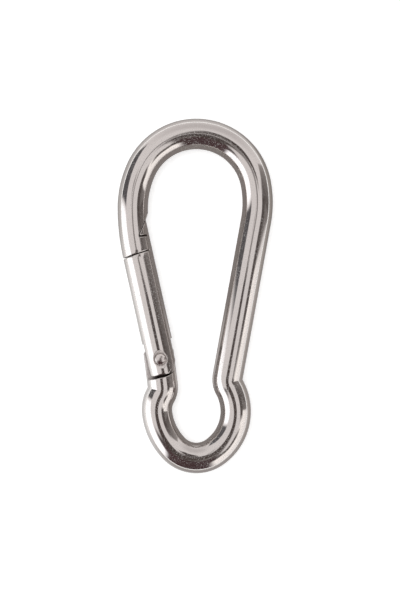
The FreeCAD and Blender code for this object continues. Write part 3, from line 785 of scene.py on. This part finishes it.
def square_off(piece, rings, centre, axis, plane_point, plane_normal, rim, keep=None):
    """Lay the listed rings onto a cut plane, the first ones rounded over the rim's quarter circle.

    keep(offset) says how much of the rounding a place round the bar gets, from 0 to 1."""
    sides = bar_sizes().sides
    last = len(rings) - 1
    for step_in, ring in enumerate(rings):
        turn = math.pi / 2 * step_in / last
        for index in range(sides):
            vertex = piece.data.vertices[ring * sides + index]
            out = vertex.co - centre
            out -= axis * out.dot(axis)
            out.normalize()
            amount = keep(out) if keep else 1.0
            inset = rim * (1 - math.cos(turn)) * amount
            back = rim * (1 - math.sin(turn))
            spot = centre + out * (BAR_RADIUS - inset)
            reach = (plane_point - plane_normal * back - spot).dot(plane_normal)
            vertex.co = spot + axis * (reach / axis.dot(plane_normal))


def rectangle(left, right, low, high):
    return [(left, low), (right, low), (right, high), (left, high)]


def barb_lines(joint):
    """The tongue's root, the barb's bearing face there, and how much the face falls outwards."""
    return (BAR_RADIUS - joint.tongue_depth, joint.gate_length + joint.barb_height,
            math.tan(joint.barb_slope))


def joint_face(joint, side):
    """A point on the nose's face (side 1) or the gate's (side -1), and its outward normal."""
    point = Vector((0, joint.gate_length + joint.gap / 2 * side, 0))
    normal = Vector((math.sin(joint.slope), -math.cos(joint.slope), 0)) * side
    return GATE_FRAME @ point, GATE_FRAME.to_3x3() @ normal


def hook_cutters(joint):
    """Cutters for the nose's notch and slot, and for the hinge tongue."""
    root, bearing, fall = barb_lines(joint)
    gap = joint.barb_clear
    slant = math.hypot(joint.barb_length, joint.tongue_depth)
    back_off = gap * slant / joint.tongue_depth
    run_on = gap * joint.barb_length / joint.tongue_depth
    notch = prism("notch", [
        (root - gap, bearing - joint.load_gap),
        (BEYOND, bearing - joint.load_gap - (BEYOND - root) * fall),
        (BEYOND, bearing + back_off + (BEYOND - root) * joint.barb_length / joint.tongue_depth),
        (root - gap, bearing + back_off - run_on),
    ])
    half = joint.tongue / 2 + joint.tongue_clear
    slot = prism("slot", rectangle(root - gap, BEYOND, joint.gate_length - BEYOND, bearing),
                 -half, half)
    inner = BAR_RADIUS - joint.rivet_inset / 2
    outer = -(BAR_RADIUS + joint.rivet_inset * 2)
    radius = joint.cam_height + joint.cam_extra
    inner_top = math.sqrt(radius ** 2 - (inner - joint.cam_reach) ** 2) - joint.cam_extra
    cam = prism("cam", [
        (outer, joint.cam_height - joint.cam_corner, -joint.cam_corner),
        (outer + joint.cam_corner, joint.cam_height),
        (joint.cam_reach, joint.cam_height, -radius), (inner, inner_top), (BEYOND, inner_top),
        (BEYOND, BEYOND * 2), (-BEYOND, BEYOND * 2),
        (-BEYOND, joint.cam_height - joint.cam_corner),
    ])
    sweep = joint.heel_gap - HEEL
    shoulder = [
        (-BEYOND, -sweep), (0, -sweep, sweep), (sweep, 0), (BEYOND, 0), (BEYOND, BEYOND * 2),
        (-BEYOND, BEYOND * 2),
    ]
    cheeks = flats("hinge_flat", shoulder, joint.hinge / 2)
    return [notch, slot, cam, *cheeks, through_hole(joint.shank + joint.tongue_run)]


class SNAPHOOK_OT_bar(Operator):
    """Bend the bar, cut its nose and its hinge tongue, and polish it"""

    bl_idname = "snap_hook.bar"
    bl_label = "Hook bar"

    def execute(self, context):
        sizes, joint = bar_sizes(), joint_sizes()
        finishes = steels()
        spots = centreline(sizes.step)
        tip = spots[-1].place
        heading = (tip - spots[-2].place).normalized()
        # The last rings make room for the rim's, which square_off then lays onto the cut.
        del spots[-4:]
        spots += [Spot(tip - heading * RING_STEP * (RIM_RINGS - ring))
                  for ring in range(RIM_RINGS)]
        piece = sweep_bar("hook_bar", spots, finishes["mirror_bar"])
        piece.data.materials.append(finishes["milled_flats"])
        crease(piece, spots, sizes)
        rings = range(len(spots) - RIM_RINGS, len(spots))
        square_off(piece, rings, tip, heading, *joint_face(joint, 1), sizes.rim_round)
        remember_normals(piece.data)
        cut(piece, hook_cutters(joint))
        shade(piece.data)
        finish_piece(piece, "hook", "hook_body")
        return {"FINISHED"}


# ---------------------------------------------------------------- the gate


def gate_cutters(joint):
    """Cutters for the gate's tongue and barb, its fork, heel and toe, rivet hole and bore."""
    face = joint.gate_length - joint.gap / 2
    slope = math.tan(joint.slope)
    root, bearing, fall = barb_lines(joint)
    point = bearing + joint.barb_length
    side = prism("tongue_side", [
        (-BEYOND, face - BEYOND * slope), (root, face + root * slope), (root, bearing),
        (BAR_RADIUS, point), (BAR_RADIUS, point + BEYOND), (-BEYOND, point + BEYOND),
    ])
    cheeks = [
        (-BEYOND, face - BEYOND * slope), (BEYOND, face + BEYOND * slope),
        (BEYOND, bearing - (BEYOND - root) * fall), (root, bearing), (-BEYOND, bearing),
    ]
    slot = joint.hinge / 2 + joint.hinge_clear
    fork = prism("fork", rectangle(-BEYOND, BEYOND, -BEYOND, joint.fork_depth), -slot, slot)
    heel = prism("heel", [
        (-BAR_RADIUS, joint.heel_round + HEEL, joint.heel_round),
        (joint.heel_round - BAR_RADIUS, HEEL), (joint.heel_round - BAR_RADIUS, -BEYOND),
        (-BEYOND, -BEYOND), (-BEYOND, joint.heel_round + HEEL),
    ])
    toe = prism("toe", [
        (BAR_RADIUS - joint.toe_width, HEEL, joint.toe_bulge),
        (BAR_RADIUS, joint.toe_length + HEEL), (BEYOND, joint.toe_length + HEEL),
        (BEYOND, -BEYOND), (BAR_RADIUS - joint.toe_width, -BEYOND),
    ])
    bore = joint.plunger + joint.fit
    seat = spring_foot(joint) + joint.coil_pitch * joint.coil_turns + joint.wire * 2
    drill = lathe("drill", [(0, 0), (bore, 0), (bore, seat), (0, seat + bore / 2)], axis="Y")
    tongue = flats("tongue_flat", cheeks, joint.tongue / 2)
    hole = through_hole(joint.shank + joint.cheek_grip)
    return [side, *tongue, fork, heel, toe, hole, drill]


CRATER_STEPS, LIP_CURL = 8, 4


def crater_cutters(joint):
    """Cutters for the dish round each rivet head, its wall flaring out into a rolled lip."""
    floor = BAR_RADIUS - joint.crater_depth
    wall = []
    for step in range(CRATER_STEPS + 1):
        part = step / CRATER_STEPS
        flare = joint.crater_flare * part + joint.crater_lip * part ** LIP_CURL
        wall.append((joint.crater_floor + flare, floor + joint.crater_depth * part))
    (inner, low), (outer, high) = wall[-2:]
    lift = BAR_RADIUS / 2
    wall.append((outer + (outer - inner) / (high - low) * lift, high + lift))
    profile = [(0, floor), *wall, (0, high + lift)]
    mirrored = [(radius, -height) for radius, height in profile[::-1]]
    return [lathe("crater", profile), lathe("crater", mirrored)]


def spring_foot(joint):
    """Where the spring's first turn stands on the plunger's shoulder."""
    return joint.cam_height + joint.fit + joint.plunger_length + joint.fit / 2


class SNAPHOOK_OT_gate(Operator):
    """Turn the gate, cut its barbed tongue, fork and rivet craters, and polish it"""

    bl_idname = "snap_hook.gate"
    bl_label = "Gate"

    def execute(self, context):
        sizes, joint = bar_sizes(), joint_sizes()
        finishes = steels()
        face = joint.gate_length - joint.gap / 2
        slope_reach = BAR_RADIUS * math.tan(joint.slope) + MM
        heights = [HEEL] * RIM_RINGS
        run = face - slope_reach - (HEEL + MM)
        count = round(run / (sizes.step * STRAIGHT_STEPS))
        heights += [HEEL + MM + run * index / count for index in range(count + 1)]
        heights += [face] * RIM_RINGS
        heights += [face + slope_reach, BARB_POINT + BAR_RADIUS]
        spots = [Spot(GATE_FRAME @ Vector((0, height + ring * RING_HAIR, 0)))
                 for ring, height in enumerate(heights)]
        piece = sweep_bar("gate_bar", spots, finishes["mirror_bar"])
        piece.data.materials.append(finishes["cut_faces"])
        piece.data.materials.append(finishes["crater_wall"])
        turn = GATE_FRAME.to_3x3()
        heel = GATE_FRAME @ Vector((0, HEEL, 0))
        square_off(piece, range(RIM_RINGS)[::-1], heel, -ALONG, heel, -ALONG, sizes.heel_rim)

        def off_tongue(out):
            """Full rounding away from the tongue, none on it."""
            local = turn.transposed() @ out
            return 0.0 if local.x > 0 and abs(local.z) * BAR_RADIUS < joint.tongue / 2 else 1.0

        first = RIM_RINGS + count + 1
        spot, normal = joint_face(joint, -1)
        square_off(piece, range(first, first + RIM_RINGS), spot, ALONG, spot, normal,
                   sizes.rim_round, off_tongue)
        remember_normals(piece.data)
        cut(piece, gate_cutters(joint))
        cut(piece, crater_cutters(joint), slot=2)
        shade(piece.data)
        finish_piece(piece, "gate", "gate")
        return {"FINISHED"}


# ---------------------------------------------------------------- rivet, plunger and spring


TURNED_SIDES = 96
DOME_STEPS = 12
WIRE_SIDES = 16
RINGS_PER_TURN = 40


def rounded(corners, radius, steps=4):
    """The turned profile with its inner corners rounded."""
    points = [corners[0]]
    for before, corner, after in zip(corners, corners[1:], corners[2:]):
        before, corner, after = Vector(before), Vector(corner), Vector(after)
        reach = min(radius, (before - corner).length / 2, (after - corner).length / 2)
        start = corner + (before - corner).normalized() * reach
        end = corner + (after - corner).normalized() * reach
        for step in range(steps + 1):
            part = step / steps
            points.append(tuple(start.lerp(corner, part).lerp(corner.lerp(end, part), part)))
    return points + [corners[-1]]


def turned_piece(name, profile, finish, axis="Z"):
    piece = lathe(name, profile, TURNED_SIDES, axis)
    piece.data.materials.append(finish)
    shade(piece.data)
    return piece


class SNAPHOOK_OT_rivet(Operator):
    """Turn the hinge rivet with its two crowned heads"""

    bl_idname = "snap_hook.rivet"
    bl_label = "Hinge rivet"

    def execute(self, context):
        joint = joint_sizes()
        seat = BAR_RADIUS - joint.crater_depth
        top = seat + joint.head_height
        rim = top - joint.head_crown
        half = [(joint.shank, 0), (joint.shank, seat), (joint.head, seat)]
        parts = [step / DOME_STEPS for step in range(DOME_STEPS, -1, -1)]
        dome = [(joint.head * part, rim + joint.head_crown * (1 - part ** 2)) for part in parts]
        half = rounded(half + dome[:2], joint.edge)[:-1] + dome[1:]
        profile = [(radius, -height) for radius, height in half[:0:-1]] + half[1:]
        piece = turned_piece("rivet", profile, steels()["rivet_face"])
        finish_piece(piece, "gate", "hinge_rivet")
        return {"FINISHED"}


class SNAPHOOK_OT_plunger(Operator):
    """Turn the plunger that presses on the hinge's cam"""

    bl_idname = "snap_hook.plunger"
    bl_label = "Spring plunger"

    def execute(self, context):
        joint = joint_sizes()
        low = joint.cam_height + joint.fit
        shoulder = low + joint.plunger_length
        end = shoulder + joint.pin_length
        profile = rounded([(0, low), (joint.plunger, low), (joint.plunger, shoulder),
                           (joint.pin, shoulder), (joint.pin, end), (0, end)], joint.edge)
        piece = turned_piece("plunger", profile, steels()["turned_face"], axis="Y")
        finish_piece(piece, "plunger", "spring_plunger")
        return {"FINISHED"}


class SNAPHOOK_OT_spring(Operator):
    """Wind the return spring behind the plunger"""

    bl_idname = "snap_hook.spring"
    bl_label = "Return spring"

    def execute(self, context):
        joint = joint_sizes()
        sweep = Sweep("Wound wire", ("Turns", "Coil radius", "Height"))
        helix = sweep.node("CurveSpiral", Rotations="Turns", Height="Height",
                           Start_Radius="Coil radius", End_Radius="Coil radius")
        helix.inputs["Resolution"].default_value = RINGS_PER_TURN
        sweep.follow(helix)
        mesh = sweep.run(
            link("guide", bpy.data.meshes.new("guide")), Radius=joint.wire, Sides=WIRE_SIDES,
            Turns=joint.coil_turns, Height=joint.coil_pitch * joint.coil_turns,
            Coil_radius=joint.plunger + joint.fit - joint.coil_clear - joint.wire,
            Finish=steels()["drawn_wire"])
        # The helix stands on Z; it is laid along the gate, its first turn on the plunger.
        lie = Matrix.Rotation(-math.pi / 2, 4, "X")
        foot = Matrix.Translation((0, spring_foot(joint) + joint.wire, 0))
        mesh.transform(GATE_FRAME @ foot @ lie)
        piece = link("spring", mesh)
        finish_piece(piece, "gate", "return_spring")
        return {"FINISHED"}


# ---------------------------------------------------------------- the stage


TENT_RADIUS = 0.75
TENT_BACK = 1.2  # the tent's own cloth hangs behind the cards
TENT = ("tent", 0.0005, ((-112, 112), (112, 112), (112, -112), (-112, -112)))
CARD_GAP = 0.01  # each card hangs this share of the radius behind the one before it
CARD_GRID = 24
CARDS = (
    # name, softness, corners in degrees right and up from overhead, tone (or tones, near and far)
    ("lens", 0.4, ((-5, -12), (12, -12), (12, -29), (-5, -29)), (0.75, 0.70, 0.68)),
    ("head", 0.11, ((-10, 5), (5, 5), (21, -30), (-26, -30)), (0.075, 0.058, 0.052)),
    ("stalk", 0.2, ((-3, 24), (3, 24), (3, -2), (-3, -2)), (0.075, 0.06, 0.055)),
    ("hood", 0.1, ((-2, 26), (17, 25), (17, 8), (1, 8)), (0.075, 0.06, 0.055)),
    ("line", 0.2, ((-9, 10), (-1, 9), (-1, -2), (-9, -2)), (0.15, 0.13, 0.12)),
    ("arm", 0.25, ((-19, 16), (-6, 11), (-6, 5), (-19, 9)), (0.3, 0.28, 0.27)),
    ("operator", 0.08, ((-14, -8), (12, -10), (48, -125), (-110, -121)),
     (0.085, 0.05, 0.052), (0.06, 0.035, 0.036)),
    ("shoulder_left", 0.14, ((-42, -18), (-6, -14), (-10, -42), (-34, -44)),
     (0.085, 0.075, 0.075)),
    ("shoulder_right", 0.14, ((6, -22), (36, -34), (22, -52), (4, -48)), (0.085, 0.07, 0.065)),
    ("frame_right", 0.12, ((30, 17), (54, 15), (57, -17), (32, -18)), (0.09, 0.075, 0.07)),
    ("frame_low", 0.16, ((31, -18), (56, -18), (34, -50), (13, -44)), (0.09, 0.075, 0.07)),
    ("flag_left", 0.045, ((-94, 66), (-43, 58), (-46, 4), (-97, 20)),
     (0.11, 0.105, 0.11), (0.10, 0.095, 0.10)),
    ("flag_right", 0.05, ((32, 12), (50, 34), (110, 62), (116, -8)),
     (0.10, 0.085, 0.08), (0.36, 0.33, 0.32)),
    ("flag_side", 0.06, ((31, 10), (116, 16), (116, -8), (34, -8)),
     (0.10, 0.085, 0.08), (0.36, 0.33, 0.32)),
    ("softbox_left", 0.05, ((-104, 25), (-50, 7), (-29, -44), (-76, -124)),
     (1.6, 1.6, 1.63), (1.5, 1.5, 1.55)),
    ("softbox_right", 0.05, ((50, -3), (94, -3), (62, -124), (6, -46)),
     (1.3, 1.24, 1.2), (1.0, 0.96, 0.95)),
    ("tent_fold", 0.2, ((-64, 92), (88, 92), (60, 26), (-48, 30)),
     (0.64, 0.60, 0.595), (0.60, 0.565, 0.56)),
)
# A smaller dark card nearer the hook, which only the bottom of the eye mirrors above the head.
HAND_RADIUS = 0.3
HAND = ("hand", 0.15, ((-10, 6), (10, 6), (10, -8), (-10, -8)), (0.075, 0.06, 0.058))

# Where the painted floor's tones change: each pair is the start and the end of a soft change.
LOW_TO_HIGH = (0.045, 0.085)
LEFT_TO_RIGHT = (-0.03, 0.03)
TO_ABOVE_HOOK = (0.112, 0.135)
BELOW_HOOK_TO = (-0.04, -0.01)
MIDDLE_TO_SIDE = (0.003, 0.006)
EYE_TO_NECK = (0.010, 0.018)
NECK_TO_BOW = (0.035, 0.055)
# How far off the hook's middle line, from the eye's centre to its end, the outer painted floor
# shows.
MIDDLE_LINE_END = 0.095
# Painted contact shadow: the outer sheet is dimmer close to the hook, then fades out towards the
# paper.
HOOK_TO_OPEN_FLOOR = (0.034, 0.048)
PAINTED_FLOOR_TO_PAPER = (0.072, 0.12)
CONTACT_SHADE = 0.72
PAINTED_FLOOR_REACH = 0.25
OUTER_PAINTED_FLOOR_HEIGHT, INNER_PAINTED_SHADE_HEIGHT = 0.05 * MM, 0.1 * MM
OPENING_STEP = 3 * MM

PAPER_REACH = 3.0
WORLD_FILL = 0.45
LAMP_SIZE, LAMP_WATTS, LAMP_PLACE = 0.9, 6.0, (-0.25, 0.1, 1.1)
FOCAL_LENGTH, SENSOR_WIDTH, LENS_HEIGHT = 80.0, 36.0, 0.5262
AIM_X, AIM_Y = 0.0019, -0.0016  # the lens looks this far off the middle of the hook's box


def card_direction(right, up):
    tilt = math.radians(math.hypot(right, up))
    way = math.atan2(up, right)
    return Vector((math.sin(tilt) * math.cos(way), math.sin(tilt) * math.sin(way), math.cos(tilt)))


def glow(name, tones, soft):
    """A glowing card: first to last tone along U, see-through towards its edges."""
    shader = Shader(name)
    sides = shader.split_place("UV")
    lamp = shader.add("ShaderNodeEmission", Color=shader.mix(sides[0], tones[0], tones[-1]))
    masks = [shader.band(side, (0.0, soft * 2), (1.0 - soft * 2, 1.0)) for side in sides]
    shader.show(lamp, shader.math("MULTIPLY", *masks))
    return shader.owner


def only_in_reflections(thing):
    for ray in ("camera", "diffuse", "shadow", "transmission", "volume_scatter"):
        setattr(thing, "visible_" + ray, False)


def card(name, soft, corners, *tones, radius, centre):
    """One card of the light tent, a curved quad between its corner directions."""
    count = CARD_GRID
    points, faces, coordinates = [], [], []
    a, b, c, d = [Vector(corner) for corner in corners]
    for row in range(count + 1):
        v = row / count
        for column in range(count + 1):
            u = column / count
            spot = a.lerp(b, u).lerp(d.lerp(c, u), v)
            points.append(centre + card_direction(*spot) * radius)
            coordinates.append((u, v))
            if row < count and column < count:
                corner = row * (count + 1) + column
                faces.append((corner, corner + 1, corner + count + 2, corner + count + 1))
    piece = mesh_from(name, points, faces, Matrix.Identity(4))
    layer = piece.data.uv_layers.new(name="UVMap")
    for loop in piece.data.loops:
        layer.data[loop.index].uv = coordinates[loop.vertex_index]
    piece.data.materials.append(glow(name, tones, soft))
    only_in_reflections(piece)


def paper_material(look):
    """Pale paper that keeps the soft shadow and is lifted to white for the lens and the metal."""
    shader = Shader("paper")
    fibre = shader.pattern(*PAPER_FIBRES, BETWEEN_FIBRES, 1.0)
    grey = [part * FIBRE_TONE for part in look.backdrop]
    matt = shader.add("ShaderNodeBsdfDiffuse", Color=shader.mix(fibre, grey, look.backdrop))
    lift = shader.add("ShaderNodeEmission",
                      Strength=shader.math("MULTIPLY", shader.seen(), PAPER_LIFT))
    shader.feed(shader.surface, shader.chain("ShaderNodeAddShader", None, matt.outputs[0],
                                             lift.outputs[0]))
    return shader.owner


def outer_painted_floor_material():
    """Painted grey floor shade round the hook, palest at the lower left, clear farther out."""
    shader = Shader("painted_floor_outside")
    across, along = shader.split_place()
    higher = shader.ramp(along, *LOW_TO_HIGH)
    left = shader.mix(higher, (1.0, 0.99, 0.99), (0.60, 0.58, 0.57))
    right = shader.mix(higher, (0.50, 0.46, 0.44), (0.36, 0.33, 0.31))
    tone = shader.mix(shader.ramp(across, *LEFT_TO_RIGHT), left, right)
    tone = shader.mix(shader.ramp(along, *TO_ABOVE_HOOK), tone, (0.66, 0.63, 0.62))
    tone = shader.mix(shader.ramp(along, *BELOW_HOOK_TO, 1.0, 0.0), tone, (0.46, 0.43, 0.42))
    nearest = shader.math("MINIMUM", shader.math("MAXIMUM", along, 0.0), MIDDLE_LINE_END)
    beyond = shader.math("SUBTRACT", along, nearest)
    squares = [shader.math("MULTIPLY", side, side) for side in (across, beyond)]
    away = shader.math("SQRT", shader.math("ADD", *squares))
    # Painted contact shadow: dimmer right by the hook.
    lamp = shader.add("ShaderNodeEmission", Color=tone,
                      Strength=shader.ramp(away, *HOOK_TO_OPEN_FLOOR, CONTACT_SHADE, 1.0))
    shader.show(lamp, shader.ramp(away, *PAINTED_FLOOR_TO_PAPER, 1.0, 0.0))
    return shader.owner


def inner_painted_shade_material():
    """Darker painted shade in the hook's opening, paler along the middle of the eye and the neck.
    """
    shader = Shader("painted_shade_inside")
    across, along = shader.split_place()
    aside = shader.ramp(shader.math("ABSOLUTE", across), *MIDDLE_TO_SIDE, 1.0, 0.0)
    middle = shader.math("MULTIPLY", aside, shader.band(along, EYE_TO_NECK, NECK_TO_BOW))
    tone = shader.mix(middle, (0.25, 0.225, 0.215), (0.55, 0.52, 0.51))
    shader.show(shader.add("ShaderNodeEmission", Color=tone))
    return shader.owner


def sheet(name, points, height, material):
    """A flat sheet of the stage over plane points."""
    spots = [(x, y, height) for x, y in points]
    piece = mesh_from(name, spots, [list(range(len(spots)))], Matrix.Identity(4))
    piece.data.materials.append(material)
    return piece


def square(reach):
    return [(-reach, -reach), (reach, -reach), (reach, reach), (-reach, reach)]


def painted_floor_sheets(low):
    """Painted floor shade outside the hook, darker in its opening, seen only by the metal."""
    opening = [spot.place.xy for spot in centreline(OPENING_STEP)]
    for painted_sheet in (
            sheet("painted_floor_outside", square(PAINTED_FLOOR_REACH), low + OUTER_PAINTED_FLOOR_HEIGHT,
                  outer_painted_floor_material()),
            sheet("painted_shade_inside", opening, low + INNER_PAINTED_SHADE_HEIGHT, inner_painted_shade_material())):
        only_in_reflections(painted_sheet)


def light_world():
    """A pale backdrop for the lens and the metal; a softer fill for the paper."""
    shader = Shader("studio", "World")
    strength = shader.ramp(shader.seen(), 0.0, 1.0, WORLD_FILL, 1.0)
    back = shader.add("ShaderNodeBackground", Strength=strength)
    shader.feed(shader.surface, back.outputs[0])
    bpy.context.scene.world = shader.owner


class SNAPHOOK_OT_stage(Operator):
    """Set up the paper, the light tent, the lamp and the camera"""

    bl_idname = "snap_hook.stage"
    bl_label = "Studio"

    def execute(self, context):
        look = looks()
        low, high = CAD_BOX
        centre = Vector(((low.x + high.x) / 2 + AIM_X, (low.y + high.y) / 2 + AIM_Y, 0))
        sheet("paper", square(PAPER_REACH), low.z, paper_material(look))
        card(*TENT, look.tent, radius=TENT_RADIUS * TENT_BACK, centre=centre)
        for rank, row in enumerate(CARDS):
            card(*row, radius=TENT_RADIUS * (1 + CARD_GAP * rank), centre=centre)
        card(*HAND, radius=HAND_RADIUS, centre=centre)
        # Painted floor light and shade, seen only in the metal's reflections.
        painted_floor_sheets(low.z)
        lamp = bpy.data.lights.new("overhead", "AREA")
        lamp.shape = "DISK"
        lamp.size = LAMP_SIZE
        lamp.energy = LAMP_WATTS
        holder = link("overhead", lamp)
        holder.location = centre + Vector(LAMP_PLACE)
        holder.rotation_euler = (centre - holder.location).to_track_quat("-Z", "Y").to_euler()
        holder.visible_glossy = False
        view = bpy.data.cameras.new("camera")
        view.lens = FOCAL_LENGTH
        view.sensor_width = SENSOR_WIDTH
        camera = link("camera", view)
        camera.location = centre + Vector((0, 0, LENS_HEIGHT))
        context.scene.camera = camera
        light_world()
        context.scene.view_settings.view_transform = "Standard"
        return {"FINISHED"}


class SNAPHOOK_PT_panel(Panel):
    """Sizes, colours and the steps that build the hook"""

    bl_idname = "SNAPHOOK_PT_panel"
    bl_label = "Snap hook"
    bl_space_type = "VIEW_3D"
    bl_region_type = "UI"
    bl_category = "Snap hook"

    def draw(self, context):
        for group in (bar_sizes(), joint_sizes(), looks()):
            column = self.layout.column()
            for name in group.__annotations__:
                column.prop(group, name)
        for operator in STEPS:
            self.layout.operator(operator.bl_idname)


STEPS = (SNAPHOOK_OT_stage, SNAPHOOK_OT_bar, SNAPHOOK_OT_gate, SNAPHOOK_OT_rivet,
         SNAPHOOK_OT_plunger, SNAPHOOK_OT_spring)
GROUPS = {"snap_hook_bar": SnapHookBar, "snap_hook_joint": SnapHookJoint,
          "snap_hook_looks": SnapHookLooks}


def register():
    for kind in (*GROUPS.values(), *STEPS, SNAPHOOK_PT_panel):
        bpy.utils.register_class(kind)
    for name, group in GROUPS.items():
        setattr(bpy.types.Scene, name, PointerProperty(type=group))


def unregister():
    for name in GROUPS:
        delattr(bpy.types.Scene, name)
    for kind in reversed((*GROUPS.values(), *STEPS, SNAPHOOK_PT_panel)):
        bpy.utils.unregister_class(kind)


def main():
    register()
    bpy.ops.snap_hook.stage()
    bpy.ops.snap_hook.bar()
    bpy.ops.snap_hook.gate()
    bpy.ops.snap_hook.rivet()
    bpy.ops.snap_hook.plunger()
    bpy.ops.snap_hook.spring()


if __name__ == "__main__":
    main()
